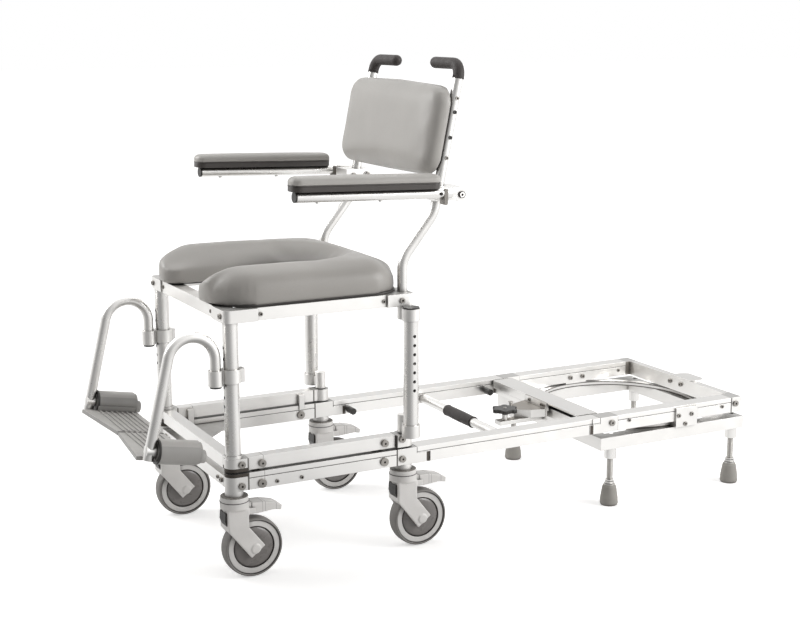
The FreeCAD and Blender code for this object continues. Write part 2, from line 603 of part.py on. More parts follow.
PIN_X = (f"({BASE_LAP[1]} + pin_inset)", f"({TUB_LAP[0]} - pin_inset_rear)")
far_wall = f"({SIDE} - {RAIL_HALF})"
bridge_pair = [bridge_rail(-1)]
pin_bores = [rod("y", (x, "pin_height"), (f"{far_wall} - 1", f"{far_wall} + latch_travel + 20"),
                 "latch_stem + fit_gap") for x in PIN_X]
bridge_pair.append(cut(bridge_rail(1), *pin_bores))
keep("bridge_rails", *bridge_pair)

TIE_X = f"({BASE_LAP[1]} + tie_offset)"
tie_y = (f"-{far_wall}", far_wall)
keep("bridge_tie_bar", rod("y", (TIE_X, "tie_height"), tie_y, "tie_radius"))
grip_y = ("-grip_near", "grip_far")
keep("bridge_grip", tube("y", (TIE_X, "tie_height"), grip_y, "grip_radius", "tie_radius"))

for word, x in zip(("front", "rear"), PIN_X):
    knob_y = (f"{far_wall} - latch_collar - latch_length", f"{far_wall} - latch_collar")
    stem = rod("y", (x, "pin_height"), (f"{far_wall} - latch_collar", f"{far_wall} + 10"),
               "latch_stem")
    handle = rod("y", (x, "pin_height"), knob_y, "latch_radius")
    keep(f"latch_knob_{word}", fuse(handle, stem))


# The casters -------------------------------------------------------------------------

SLANT = "atan(wheel_trail / (slant_height - wheel_radius))"
ALONG_X = f"sin({SLANT})"
ALONG_Z = f"cos({SLANT})"


def fork_outline(x):
    """The side view of a fork arm, from the head down the slant to the axle."""
    axle = f"({x} + wheel_trail)"
    front = (f"{axle} + arm_half * {ALONG_Z} + arm_end * {ALONG_X}",
             f"wheel_radius + arm_half * {ALONG_X} - arm_end * {ALONG_Z}")
    back = (f"{axle} - arm_half * {ALONG_Z} + arm_end * {ALONG_X}",
            f"wheel_radius - arm_half * {ALONG_X} - arm_end * {ALONG_Z}")
    knee_front = f"({x} + stem_half)"
    knee_back = f"({x} - stem_half)"
    slope = f"({ALONG_Z} / {ALONG_X})"
    return [(knee_back, "head_low"), (knee_front, "head_low"),
            (knee_front, f"({front[1]}) + ({front[0]} - {knee_front}) * {slope}"), front, back,
            (knee_back, f"({back[1]}) + ({back[0]} - {knee_back}) * {slope}")]


def caster(name, x, side):
    y = across(side, SIDE)
    axle = (f"({x} + wheel_trail)", "wheel_radius")
    outer = (f"{y} - fork_half", f"{y} + fork_half")
    pin_top = "rail_bottom - socket_drop + socket_depth - 2"
    arms = extruded("XZ_Plane", [fork_outline(x)], outer)
    stem = rod("z", (x, y), ("head_low - 30", "head_low"), "stem_radius")
    ears = box((f"{x} + stem_half - 4", f"{x} + pedal_pin_x + 5"),
               (f"{y} - pedal_half - ear_thick", f"{y} + pedal_half + ear_thick"),
               ("pedal_pin_z - 5", "head_low"))
    solid = fuse(arms, stem, ears)
    gap = (f"{y} - fork_half + fork_plate", f"{y} + fork_half - fork_plate")
    wheel_room = rod("y", axle, gap, "wheel_radius + tyre_clear")
    foot_room = box((f"{x} + stem_half + 1", f"{x} + pedal_reach"),
                    (f"{y} - pedal_half - 0.4", f"{y} + pedal_half + 0.4"),
                    ("pedal_pin_z - 15", "head_low + 1"))
    solid = cut(solid, wheel_room, foot_room)
    head = rod("z", (x, y), ("head_low", "head_high"), "head_radius")
    top = "rail_bottom - socket_drop - swivel_gap"
    washer = rod("z", (x, y), ("head_high", top), "washer_radius")
    pin = rod("z", (x, y), (top, pin_top), "swivel_pin")
    caps = (f"{outer[0]} - axle_cap_thick", f"{outer[1]} + axle_cap_thick")
    cap_near = rod("y", axle, (caps[0], outer[0]), "axle_cap")
    cap_far = rod("y", axle, (outer[1], caps[1]), "axle_cap")
    axle_bar = rod("y", axle, outer, "axle_radius")
    pedal_pin = rod("y", (f"{x} + pedal_pin_x", "pedal_pin_z"),
                    (f"{y} - pedal_half - ear_thick", f"{y} + pedal_half + ear_thick"),
                    "pedal_pin")
    keep(f"caster_fork_{name}", fuse(solid, head, washer, pin, cap_near, cap_far, axle_bar,
                                     pedal_pin))

    hub = rod("y", axle, (f"{y} - hub_half", f"{y} + hub_half"), "hub_radius")
    rim = rod("y", axle, (f"{y} - rim_half", f"{y} + rim_half"), "tyre_bore")
    bore = rod("y", axle, (f"{y} - fork_half", f"{y} + fork_half"), "axle_radius + fit_gap")
    dish_near = rod("y", axle, (f"{y} - hub_half", f"{y} - hub_half + dish_depth"),
                    ("hub_radius - dish_rim", "dish_floor"), "Part::Cone")
    dish_far = rod("y", axle, (f"{y} + hub_half - dish_depth", f"{y} + hub_half"),
                   ("dish_floor", "hub_radius - dish_rim"), "Part::Cone")
    boss = rod("y", axle, (f"{y} - hub_half - 2", f"{y} + hub_half + 2"), "hub_boss")
    wheel = cut(fuse(cut(fuse(hub, rim), dish_near, dish_far), boss), bore)
    keep(f"wheel_core_{name}", wheel)

    tyre_y = (f"{y} - tyre_width / 2", f"{y} + tyre_width / 2")
    tread = tube("y", axle, tyre_y, "wheel_radius", "tyre_bore")
    keep(f"tyre_{name}", rounded(tread, "tyre_width / 5", outer_rim))

    px = f"({x} + pedal_start)"
    tip = f"({x} + pedal_reach)"
    shape = [(px, "pedal_top"), (f"{px} + 26", "pedal_top - 1"), (f"{tip} - 12", "pedal_top - 8"),
             (tip, "pedal_top - 15"), (f"{tip} - 2", "pedal_top - 25"),
             (f"{tip} - 16", "pedal_root + 3"), (f"{x} + pedal_pin_x + 8", "pedal_root"),
             (f"{x} + pedal_pin_x - 5", "pedal_root + 2"),
             (f"{x} + pedal_pin_x - 6", "head_low - pedal_gap"), (px, "head_low - pedal_gap")]
    lever = extruded("XZ_Plane", [shape], (f"{y} - pedal_half", f"{y} + pedal_half"))
    pin_room = rod("y", (f"{x} + pedal_pin_x", "pedal_pin_z"),
                   (f"{y} - fork_half", f"{y} + fork_half"), "pedal_pin + fit_gap")
    keep(f"brake_pedal_{name}", cut(lever, pin_room))


def outer_rim(edge):
    """The two outer circles of a tyre."""
    return edge.Curve.TypeId == "Part::GeomCircle" and edge.Curve.Radius > value("tyre_bore + 1")


for word, side in SIDES:
    caster(f"{word}_front", FRONT, side)
    caster(f"{word}_rear", REAR, side)


# The sliding carriage ----------------------------------------------------------------

CHANNEL_HALF = "(channel_width / 2)"
CARRIAGE_RAIL = (f"{FRONT} + carriage_seam", f"{REAR} - carriage_rear_seam")
carriage_z = (CHANNEL_LOW, CHANNEL_TOP)


def channel_rail(side):
    """An inverted channel, open below for the rollers."""
    low, high = rail_limits(side, CHANNEL_HALF, CHANNEL_HALF)
    points = [(low, CHANNEL_LOW), (f"{low} + channel_wall", CHANNEL_LOW),
              (f"{low} + channel_wall", f"{CHANNEL_TOP} - channel_wall"),
              (f"{high} - channel_wall", f"{CHANNEL_TOP} - channel_wall"),
              (f"{high} - channel_wall", CHANNEL_LOW), (high, CHANNEL_LOW),
              (high, CHANNEL_TOP), (low, CHANNEL_TOP)]
    return extruded("YZ_Plane", [points], CARRIAGE_RAIL)


def carriage_casting(side, x, end):
    """A corner block round a post, with an arm to its rail and, in front, to the cross tube."""
    y = across(side, SIDE)
    arm_x = (f"{x} - cross_width / 2", f"{x} + cross_width / 2")
    limits = (x, end) if end == CARRIAGE_RAIL[0] else (end, x)
    parts = [rod("z", (x, y), carriage_z, "casting_radius"),
             box(limits, rail_limits(side, CHANNEL_HALF, "casting_radius"), carriage_z)]
    if x == FRONT:
        parts.append(inwards_arm(side, arm_x, "cross_arm", carriage_z))
    return fuse(*parts)


keep("carriage_rails", *[channel_rail(side) for word, side in SIDES])

carriage_corners = []
for word, side in SIDES:
    front_casting = carriage_casting(side, FRONT, CARRIAGE_RAIL[0])
    collar = rod("z", (FRONT, across(side, SIDE)),
                 (CHANNEL_TOP, f"{CHANNEL_TOP} + collar_height"), "collar_radius")
    bore = rod("z", (FRONT, across(side, SIDE)),
               (f"{CHANNEL_TOP} - leg_seat", f"{CHANNEL_TOP} + 20"), "leg_radius")
    carriage_corners.append(cut(fuse(front_casting, collar), bore))
    rear_casting = carriage_casting(side, REAR, CARRIAGE_RAIL[1])
    stub_bore = rod("z", (REAR, across(side, SIDE)),
                    ("boss_low - 1", f"{CHANNEL_TOP} + 20"), "boss_inner")
    carriage_corners.append(cut(rear_casting, stub_bore))
keep("carriage_corners", *carriage_corners)

keep("carriage_cross_rails", cross_tube(front_cross, cross_ends, carriage_z))


def roller(side, x):
    """A roller on its axle inside the channel."""
    y = across(side, SIDE)
    z = f"{DECK} + roller_radius"
    wheel = rod("y", (x, z), (f"{y} - roller_half", f"{y} + roller_half"), "roller_radius")
    axle = rod("y", (x, z), (f"{y} - channel_width / 2 + channel_wall",
                             f"{y} + channel_width / 2 - channel_wall"), "pivot_radius")
    return fuse(wheel, axle)


def hook_plate(side, x):
    """A plate on the rail's inner wall that hangs beside the frame rail below."""
    along = (f"{x} - hook_width / 2", f"{x} + hook_width / 2")
    wall = f"({SIDE} - {RAIL_HALF} - hook_gap)"
    plate = box(along, outwards(side, f"{wall} - hook_thick", wall), ("hook_low", "hook_high"))
    spacer = box(along, outwards(side, wall, f"{SIDE} - {CHANNEL_HALF}"),
                 (f"{CHANNEL_LOW} + 2", "hook_high"))
    return fuse(plate, spacer)


rolling = []
for word, side in SIDES:
    for x, shift in zip(ROLLERS, ("-4", "-hook_shift")):
        rolling.append(roller(side, x))
        rolling.append(hook_plate(side, f"({x} + ({shift}))"))
keep("carriage_rollers", *rolling)

# Four legs: two stand on the front corners, two in clamps outside the rear corners.
FRONT_LEG = (f"({CHANNEL_TOP} - leg_seat)", SEAT_LOW)
REAR_LEG = ("boss_low", f"{UPPER_BOSS} + upper_boss_height")
FRONT_HOLE_DROPS = (50.4, 73.4, 131.4, 152.4, 171.4)
REAR_HOLES = 7
HOLE_FIRST = f"({SEAT_LOW} - hole_drop)"
legs = []
for word, side in SIDES:
    y = across(side, SIDE)
    front_holes = [rod("x", (y, f"{SEAT_LOW} - {drop}"), (f"{FRONT} - leg_radius - 1", FRONT),
                       "leg_hole") for drop in FRONT_HOLE_DROPS]
    front_leg = tube("z", (FRONT, y), FRONT_LEG, "leg_radius", "leg_radius - leg_wall")
    legs.append(cut(front_leg, *front_holes))
    out = across(side, REAR_LEG_Y)
    limits = outwards(side, REAR_LEG_Y, f"{REAR_LEG_Y} + leg_radius + 1")
    rear_holes = [rod("y", (REAR_LEG_X, f"{HOLE_FIRST} + {step} * hole_pitch"), limits,
                      "leg_hole") for step in range(REAR_HOLES)]
    rear_leg = tube("z", (REAR_LEG_X, out), REAR_LEG, "leg_radius", "leg_radius - leg_wall")
    legs.append(cut(rear_leg, *rear_holes))
keep("legs", *legs)


def leg_clamp(side, outer_z, inner_z, cap):
    """A pair of bosses joined by a web: one round the leg, one on the frame's corner."""
    ring = rod("z", (REAR_LEG_X, across(side, REAR_LEG_Y)), outer_z, "boss_outer")
    stub = rod("z", (REAR, across(side, SIDE)), inner_z, "boss_inner")
    web = box((f"{REAR} - web_half", f"{REAR} + web_half"),
              outwards(side, SIDE, REAR_LEG_Y),
              (f"{outer_z[0]} + 3", f"{outer_z[1]} - 3"))
    leg_room = rod("z", (REAR_LEG_X, across(side, REAR_LEG_Y)),
                   (f"{outer_z[0]} - 1", f"{outer_z[1]} + 1"), "leg_radius")
    clamp = cut(fuse(ring, stub, web), leg_room)
    if not cap:
        return [clamp]
    lid = rod("z", (REAR_LEG_X, across(side, REAR_LEG_Y)),
              (outer_z[1], f"{outer_z[1]} + cap_height"), "boss_outer - 2")
    return [clamp, lid]


clamps = []
for word, side in SIDES:
    lower_z = ("boss_low", "boss_low + boss_height")
    upper_z = (UPPER_BOSS, f"{UPPER_BOSS} + upper_boss_height")
    clamps += leg_clamp(side, lower_z, ("boss_low", "boss_low + boss_stub"), False)
    clamps += leg_clamp(side, upper_z, (f"{UPPER_BOSS} - 5", SEAT_LOW), True)
keep("leg_clamps", *clamps)


# The seat ----------------------------------------------------------------------------

SEAT_HALF = "(seat_rail_width / 2)"
SEAT_RAIL = (f"{FRONT} + seat_front_seam", f"{REAR} - seat_rear_seam")
seat_z = (SEAT_LOW, "seat_top")


def seat_casting(side, x, end):
    y = across(side, SIDE)
    outer_x = (f"{x} - casting_radius", end) if x == FRONT else (end, f"{x} + casting_radius")
    block = box(outer_x, rail_limits(side, SEAT_HALF, "casting_radius"), seat_z)
    arm_x = ((f"{x} - casting_radius", f"{x} + {SEAT_HALF}") if x == FRONT
             else (f"{x} - {SEAT_HALF}", f"{x} + casting_radius"))
    arm = inwards_arm(side, arm_x, "seat_front_seam", seat_z)
    casting = fuse(block, arm)
    far_x = value(outer_x[0] if x == FRONT else outer_x[1])
    far_y = value(across(side, f"{SIDE} + casting_radius"))

    def outer_corner(edge):
        spot = edge.CenterOfMass
        upright = runs_along(Vector(0, 0, 1))(edge)
        return upright and abs(spot.x - far_x) < 0.01 and abs(spot.y - far_y) < 0.01
    return rounded(casting, "casting_radius - 5", outer_corner)


def seat_side_rail(side):
    low, high = rail_limits(side, SEAT_HALF, SEAT_HALF)
    tube_wall = "channel_wall"
    inside = box((f"{SEAT_RAIL[0]} - 1", f"{SEAT_RAIL[1]} + 1"),
                 (f"{low} + {tube_wall}", f"{high} - {tube_wall}"),
                 (f"{SEAT_LOW} + {tube_wall}", f"seat_top - {tube_wall}"))
    return cut(box(SEAT_RAIL, (low, high), seat_z), inside)


seat_cross_y = (f"-({SIDE} - seat_front_seam)", f"({SIDE} - seat_front_seam)")
seat_crosses = [
    cross_tube((f"({FRONT} - casting_radius + 3)", f"({FRONT} + {SEAT_HALF})"), seat_cross_y,
               seat_z, "channel_wall"),
    cross_tube((f"({REAR} - {SEAT_HALF})", f"({REAR} + casting_radius - 3)"), seat_cross_y,
               seat_z, "channel_wall")]
keep("seat_rails", *[seat_side_rail(side) for word, side in SIDES], *seat_crosses)
keep("seat_corners", *[seat_casting(side, x, end) for word, side in SIDES
                       for x, end in ((FRONT, SEAT_RAIL[0]), (REAR, SEAT_RAIL[1]))])

CUSHION_X = (f"({FRONT} - cushion_front)", f"({REAR} + cushion_back)")
CUSHION_Y = f"({SIDE} + cushion_side)"
slab = box(CUSHION_X, (f"-{CUSHION_Y}", CUSHION_Y), ("seat_top", "seat_top + cushion_height"))
slab = rounded(slab, "cushion_corner", runs_along(Vector(0, 0, 1)))
throat_end = f"({CUSHION_X[0]} + opening_length - opening_half)"
opening_z = ("seat_top - 1", "seat_top + cushion_height + 1")
throat = fuse(box((f"{CUSHION_X[0]} - 1", throat_end), ("-opening_half", "opening_half"),
                  opening_z),
              rod("z", (throat_end, "0"), opening_z, "opening_half"))
pierced = cut(slab, throat)


def upper_rim(edge):
    return edge.BoundBox.ZMin > value("seat_top + cushion_height - 0.1")


keep("seat_cushion", rounded(pierced, "cushion_round", upper_rim))


# The back ----------------------------------------------------------------------------

CANE_Y = f"({SIDE} - cane_inset)"
LEAN = value("cane_lean")
lean_step = Vector(math.sin(math.radians(LEAN)), 0, math.cos(math.radians(LEAN)))


def cane_points(side):
    """Corners of a cane's centre line, from the seat frame to the grip."""
    y = value(across(side, CANE_Y))
    foot_x = value(f"{REAR} + cane_foot")
    mid_x = value("front_x + cane_mid_x")
    slant = math.tan(math.radians(value("cane_slant")))
    low = Vector(foot_x, y, value("seat_top + cane_bend"))
    mid = Vector(mid_x, y, low.z + (mid_x - foot_x) / slant)
    top_z = value("seat_top + cane_rise")
    top = mid + lean_step * ((top_z - mid.z) / lean_step.z)
    return [Vector(foot_x, y, value("seat_top")), low, mid, top]


def cane_at(height):
    """Where a cane's centre line is at a height above its upper bend."""
    mid = cane_points(1)[2]
    return mid.x + (height - mid.z) * lean_step.x / lean_step.z


def cane(side):
    return swept(bent_bar(cane_points(side), [value("cane_arc")] * 2, value("cane_radius")))


keep("back_canes", *[cane(side) for word, side in SIDES])


def push_grip(side):
    """A grip that carries on up the cane and turns inwards over it."""
    start = cane_points(side)[3]
    corner_z = value("seat_top + grip_rise")
    corner = start + lean_step * ((corner_z - start.z) / lean_step.z)
    tip = Vector(corner.x, corner.y - side * value("grip_reach"), corner.z)
    return swept(bent_bar([start, corner, tip], [value("grip_arc")], value("grip_outer")))


keep("push_grips", *[push_grip(side) for word, side in SIDES])


def leaning(item):
    """Stand an upright item against the canes, turned about their lower screw."""
    return spin(item, (0, 1, 0), "cane_lean")


BACK_Z = ("0", "(back_high - back_low) / cos(cane_lean)")
slab = box(("-(cane_radius + back_gap + back_thick)", "-(cane_radius + back_gap)"),
           (f"-({SIDE} + back_side)", f"({SIDE} + back_side)"), BACK_Z)
back_slab = rounded(slab, "back_corner", runs_along(Vector(1, 0, 0)))


def face_rim(edge):
    box_x = edge.BoundBox
    front = value("-(cane_radius + back_gap + back_thick)")
    return abs(box_x.XMin - front) < 0.01 and abs(box_x.XMax - front) < 0.01


back_pad = rounded(back_slab, "back_round", face_rim)
BACK_LOW = "(seat_top + back_low)"
BACK_X = f"{cane_at(value(BACK_LOW)):.6f}"
leaning(back_pad)
keep("back_pad", move(back_pad, BACK_X, 0, BACK_LOW))


# The arms ----------------------------------------------------------------------------

PIVOT_X = "(front_x + pivot_x)"
ARM_Y = f"({SIDE} + arm_out)"


def tilted(item):
    """Turn an arm piece, drawn level about the pivot, by the arm's tilt."""
    return move(spin(item, (0, 1, 0), "arm_tilt"), PIVOT_X, 0, PIVOT_Z)


def from_pivot(size):
    return f"({size} - pivot_x)"


UNDER_SCREWS = (168, 307)


def arm(side, word):
    y = across(side, ARM_Y)
    tube_z = "(band_rise - cane_radius - 0.1)"
    bar = rod("x", (y, tube_z), (from_pivot("tube_front"), from_pivot("tube_back")),
              "cane_radius")
    knuckle_y = outwards(side, f"{SIDE} + knuckle_in", f"{SIDE} + knuckle_out")
    block = box((from_pivot("knuckle_start"), "0"), knuckle_y, ("-11", "knuckle_radius"))
    eye = rod("y", ("0", "0"), knuckle_y, "knuckle_radius")
    bore = rod("y", ("0", "0"), (f"{knuckle_y[0]} - 1", f"{knuckle_y[1]} + 1"),
               "pivot_radius + fit_gap")
    piece = cut(fuse(bar, block, eye), bore)
    stop = rod("x", (y, tube_z), (from_pivot("tube_front - tube_stop"),
                                  from_pivot("tube_front")), "cane_radius")
    heads = [rod("z", (from_pivot(x), y), (f"{tube_z} - cane_radius - under_head", tube_z),
                 "under_screw") for x in UNDER_SCREWS]
    keep(f"arm_{word}", tilted(group(fuse(piece, *heads), stop)))

    pad_x = (from_pivot("pad_front"), from_pivot("pad_back"))
    pad_y = (f"{y} - arm_pad_half", f"{y} + arm_pad_half")
    low = "band_rise"
    band = box(pad_x, pad_y, (low, f"{low} + band_height"))
    band = rounded(band, "arm_pad_half / 2", runs_along(Vector(0, 0, 1)))
    vinyl = box(pad_x, pad_y, (f"{low} + band_height", f"{low} + band_height + vinyl_height"))
    vinyl = rounded(vinyl, "arm_pad_half / 2", runs_along(Vector(0, 0, 1)))
    rim_z = value(f"{low} + band_height + vinyl_height")
    vinyl = rounded(vinyl, "vinyl_height / 2", lambda edge: edge.BoundBox.ZMin > rim_z - 0.1)
    keep(f"arm_pad_{word}", tilted(group(band, vinyl)))


for word, side in SIDES:
    arm(side, word)


def arm_bracket(side):
    """A block that clamps a cane and carries the arm's pivot pin."""
    body_y = outwards(side, f"{SIDE} - bracket_in", f"{SIDE} + bracket_out")
    block = box(("front_x + bracket_front", "front_x + bracket_back"), body_y,
                (f"{PIVOT_Z} - bracket_half", f"{PIVOT_Z} + bracket_half"))
    pin_y = outwards(side, f"{SIDE} + bracket_out - 10", f"{SIDE} + knuckle_out + 0.3")
    pin = rod("y", (PIVOT_X, PIVOT_Z), pin_y, "pivot_radius")
    head_y = outwards(side, f"{SIDE} + knuckle_out + 0.3", f"{SIDE} + knuckle_out + 4")
    head = rod("y", (PIVOT_X, PIVOT_Z), head_y, "pivot_radius + 3")
    return cut(fuse(block, pin, head), cane(side))


keep("arm_brackets", *[arm_bracket(side) for word, side in SIDES])


# The footrests -----------------------------------------------------------------------

SWING_X = f"({FRONT} - swing_x)"


def footrest_socket(side):
    """A clamp round the front leg with a socket for the footrest's tube."""
    y = across(side, SIDE)
    clamp_z = ("clamp_low", "clamp_low + clamp_height")
    socket_z = ("socket_low", "socket_low + socket_height")
    ring = rod("z", (FRONT, y), clamp_z, "clamp_radius")
    lug = box((f"{FRONT} - 2", f"{FRONT} + lug_out"), (f"{y} - 9", f"{y} + 9"), clamp_z)
    socket = rod("z", (SWING_X, y), socket_z, "socket_radius")
    web = box((SWING_X, FRONT), (f"{y} - 8", f"{y} + 8"), clamp_z)
    leg_room = rod("z", (FRONT, y), ("clamp_low - 1", "clamp_low + clamp_height + 1"),
                   "leg_radius")
    stub_room = rod("z", (SWING_X, y), ("stub_low", "socket_low + socket_height + 1"),
                    "cane_radius + fit_gap")
    clamp = cut(fuse(ring, lug, socket, web), leg_room, stub_room)
    plug = rod("z", (SWING_X, y), ("socket_low - plug_height", "socket_low"),
               "socket_radius - 3")
    return [clamp, plug]


keep("footrest_sockets", *[piece for word, side in SIDES for piece in footrest_socket(side)])

tread_lean = math.radians(value("tread_tilt"))
TREAD = Vector(value(f"{FRONT} - tread_x"), 0, value("tread_z"))
tread_step = Vector(math.cos(tread_lean), 0, -math.sin(tread_lean))


def hanger(side, word):
    """A tube that rises from its socket, hooks over and runs down to the tread's hinge."""
    y = value(across(side, SIDE))
    swing_x = value(SWING_X)
    level = value("hook_level")
    arc = value("hook_arc")
    tilt = math.radians(value("hanger_tilt"))
    centre = Vector(swing_x - arc, y, level)
    stub = [Vector(swing_x, y, value("stub_low") + 0.3), Vector(swing_x, y, level)]
    leave = centre + Vector(-math.cos(tilt), 0, math.sin(tilt)) * arc
    crown_turn = (math.pi - tilt) / 2
    crown = centre + Vector(math.cos(crown_turn), 0, math.sin(crown_turn)) * arc
    down = Vector(-math.sin(tilt), 0, -math.cos(tilt))
    end = leave + down * ((leave.z - value("hanger_end")) / math.cos(tilt))
    path = Part.Wire([Part.LineSegment(*stub).toShape(),
                      Part.Arc(stub[1], crown, leave).toShape(),
                      Part.LineSegment(leave, end).toShape()])
    ring = Part.Wire([Part.Circle(stub[0], Vector(0, 0, 1), value("cane_radius")).toShape()])
    tube_shape = path.makePipeShell([ring], True, True)
    base = TREAD + Vector(0, y, 0)
    pin_start = base - tread_step * value("hinge_lead")
    pin = Part.makeCylinder(value("hinge_radius"), value("hinge_lead + hinge_length"),
                            pin_start, tread_step)
    block = Part.makeCylinder(value("hinge_boss"), value("hinge_block"), pin_start,
                              tread_step)
    keep(f"hanger_{word}", swept(tube_shape.fuse([pin, block]).removeSplitter()))


def footplate(side, word):
    """A ribbed tread whose tubular edge turns on the hanger's pin.

    It is drawn level with the hinge along X through the origin, then tilted into place."""
    y = across(side, SIDE)
    start = "housing_start"
    end = "(housing_start + housing_length)"
    housing = rod("x", ("0", "0"), (start, end), "housing_radius")
    plate_low = "(-(tread_drop + tread_thick))"
    reach = f"({SIDE} - tread_gap)"
    sign = -side
    points = [("-tread_front", f"{sign} * tread_notch"),
              ("-tread_front + tread_slant", f"{sign} * {reach}"),
              ("tread_back", f"{sign} * {reach}"), ("tread_back", "0"),
              ("housing_start", "0"), ("housing_start", f"{sign} * tread_notch")]
    plate = extruded("XY_Plane", [points], (plate_low, "-tread_drop"))
    skirt = box((start, end), outwards(sign, "0", "housing_radius + 4"),
                (plate_low, "-4"))
    ribs = []
    for step in range(7):
        rib_x = f"({start} + 2 + {step} * rib_pitch)"
        ribs.append(box((rib_x, f"{rib_x} + rib_width"),
                        outwards(sign, "housing_radius", f"{reach} - 6"),
                        ("-tread_drop - 1", "-tread_drop + rib_height")))
    bore = rod("x", ("0", "0"), (f"{start} - 1", f"{end} - 6"), "hinge_radius + hinge_gap")
    body = cut(fuse(housing, plate, skirt, *ribs), bore)
    cap = rod("x", ("0", "0"), (end, f"{end} + end_cap"), "housing_radius - 3")
    whole = group(body, cap)
    spin(whole, (0, 1, 0), "tread_tilt")
    keep(f"footplate_{word}", move(whole, f"{FRONT} - tread_x", y, "tread_z"))


for word, side in SIDES:
    hanger(side, word)
    footplate(side, word)


# Fasteners ---------------------------------------------------------------------------

def side_bolt(side, x, z, wall, radius, head):
    """A bolt head on a face that looks outwards, with a hexagonal socket."""
    limits = outwards(side, wall, f"{wall} + {head}")
    socket = outwards(side, f"{wall} + {head} / 2", f"{wall} + {head} + 1")
    return cut(rod("y", (x, z), limits, radius),
               rod("y", (x, z), socket, "hex_radius", "Part::Prism"))


def inner_bolt(side, x, z, wall, radius, head):
    """A bolt head on a face that looks towards the middle plane."""
    limits = outwards(side, f"{wall} - {head}", wall)
    socket = outwards(side, f"{wall} - {head} - 1", f"{wall} - {head} / 2")
    return cut(rod("y", (x, z), limits, radius),
               rod("y", (x, z), socket, "hex_radius", "Part::Prism"))


def end_bolt(x, y, z, radius, head):
    """A bolt head on a face that looks towards the chair's front."""
    return cut(rod("x", (y, z), (f"{x} - {head}", x), radius),
               rod("x", (y, z), (f"{x} - {head} - 1", f"{x} - {head} / 2"), "hex_radius",
                   "Part::Prism"))


WALL = f"({SIDE} + {RAIL_HALF})"
INNER_WALL = f"({SIDE} - {RAIL_HALF})"
BIG = ("big_radius", "bolt_head")
MIDDLE = ("bolt_radius + 1.5", "bolt_head")
PLAIN = ("bolt_radius", "bolt_head")
SMALL = ("screw_radius", "screw_head")
BLOCK_SCREW = ("screw_radius + 1", "screw_head")
# Each row is a station, the steps along X and above the rail's bottom from it, and a kind.
OUTER_BOLTS = ((FRONT, 54, 10, BIG), (FRONT, 10, 10, MIDDLE), (FRONT, 87, 9.5, SMALL),
               (FRONT, 142, 9.5, SMALL), (REAR, -55, 14, BIG), (REAR, -11, 14, MIDDLE),
               (TUB_LAP[1], 32, 21, MIDDLE), (TUB_RAIL[0], 32, 21, SMALL),
               (TUB_RAIL[1], -27, 18, SMALL), (TUB_RAIL[1], 14, 21, MIDDLE))
INNER_BOLTS = ((FRONT, 37, 10, PLAIN), (REAR, -61, 13, BIG), (TUB_RAIL[1], -24, 15, SMALL),
               (RING_X, -10, 13, PLAIN), (RING_X, 28, 13, PLAIN))
BLOCK_BOLTS = ((-24, 14), (14, 14), (-4, -8))
frame_bolts = []
for word, side in SIDES:
    for station, x, z, kind in OUTER_BOLTS:
        place = (f"{station} + ({x})", f"rail_bottom + {z}")
        frame_bolts.append(side_bolt(side, *place, WALL, *kind))
    for station, x, z, kind in INNER_BOLTS:
        place = (f"{station} + ({x})", f"rail_bottom + {z}")
        frame_bolts.append(inner_bolt(side, *place, INNER_WALL, *kind))
    for inset, kind in ((36, PLAIN), (58, SMALL)):
        frame_bolts.append(end_bolt(front_cross[0], across(side, f"{SIDE} - {inset}"),
                                    "rail_bottom + cross_height / 2", *kind))
block_wall = f"({WALL} + block_plate)"
for x, z in BLOCK_BOLTS:
    frame_bolts.append(side_bolt(-1, f"{BLOCK_X['near']} + ({x})", f"rail_bottom + ({z})",
                                 block_wall, *BLOCK_SCREW))
for y in (20, -22):
    frame_bolts.append(end_bolt(f"{TUB_END} - end_beam", y, "rail_bottom + 21", *PLAIN))
for y in (-52, -42, 12):
    frame_bolts.append(end_bolt(f"{beam_x[0]} - plate_thick", y, f"{RAIL_TOP} - 8", *SMALL))
keep("frame_bolts", *frame_bolts)

seat_wall = f"({SIDE} + casting_radius)"
rail_wall_y = f"({SIDE} + {SEAT_HALF})"
channel_wall_y = f"({SIDE} + {CHANNEL_HALF})"
SEAT_BOLT = f"({SEAT_LOW} + seat_rail_height / 2)"
AXLE_BOLT = ("bolt_radius + 2", "bolt_head + 2")
# Each row is a place along X, a height, the face it stands on and a kind.
CHAIR_BOLTS = ((f"{FRONT} + 11", f"{CHANNEL_LOW} + 15", seat_wall, MIDDLE),
               (ROLLERS[0], f"{CHANNEL_LOW} + 11", channel_wall_y, AXLE_BOLT),
               (ROLLERS[1], f"{CHANNEL_LOW} + 13", channel_wall_y, AXLE_BOLT),
               (f"{REAR} - 12", f"{CHANNEL_LOW} + 18", seat_wall, MIDDLE),
               (f"{FRONT} + 61", SEAT_BOLT, rail_wall_y, SMALL),
               (f"{REAR} - 52", SEAT_BOLT, rail_wall_y, SMALL),
               (f"{REAR} - 12", SEAT_BOLT, seat_wall, PLAIN))
CANE_SCREWS = (276.4, 318.7, 371.2, 399.9)
PIVOT_SCREW = (f"{PIVOT_X} - 45.2", PIVOT_Z)
chair_bolts = []
cane_face = f"({SIDE} - cane_inset + cane_radius)"
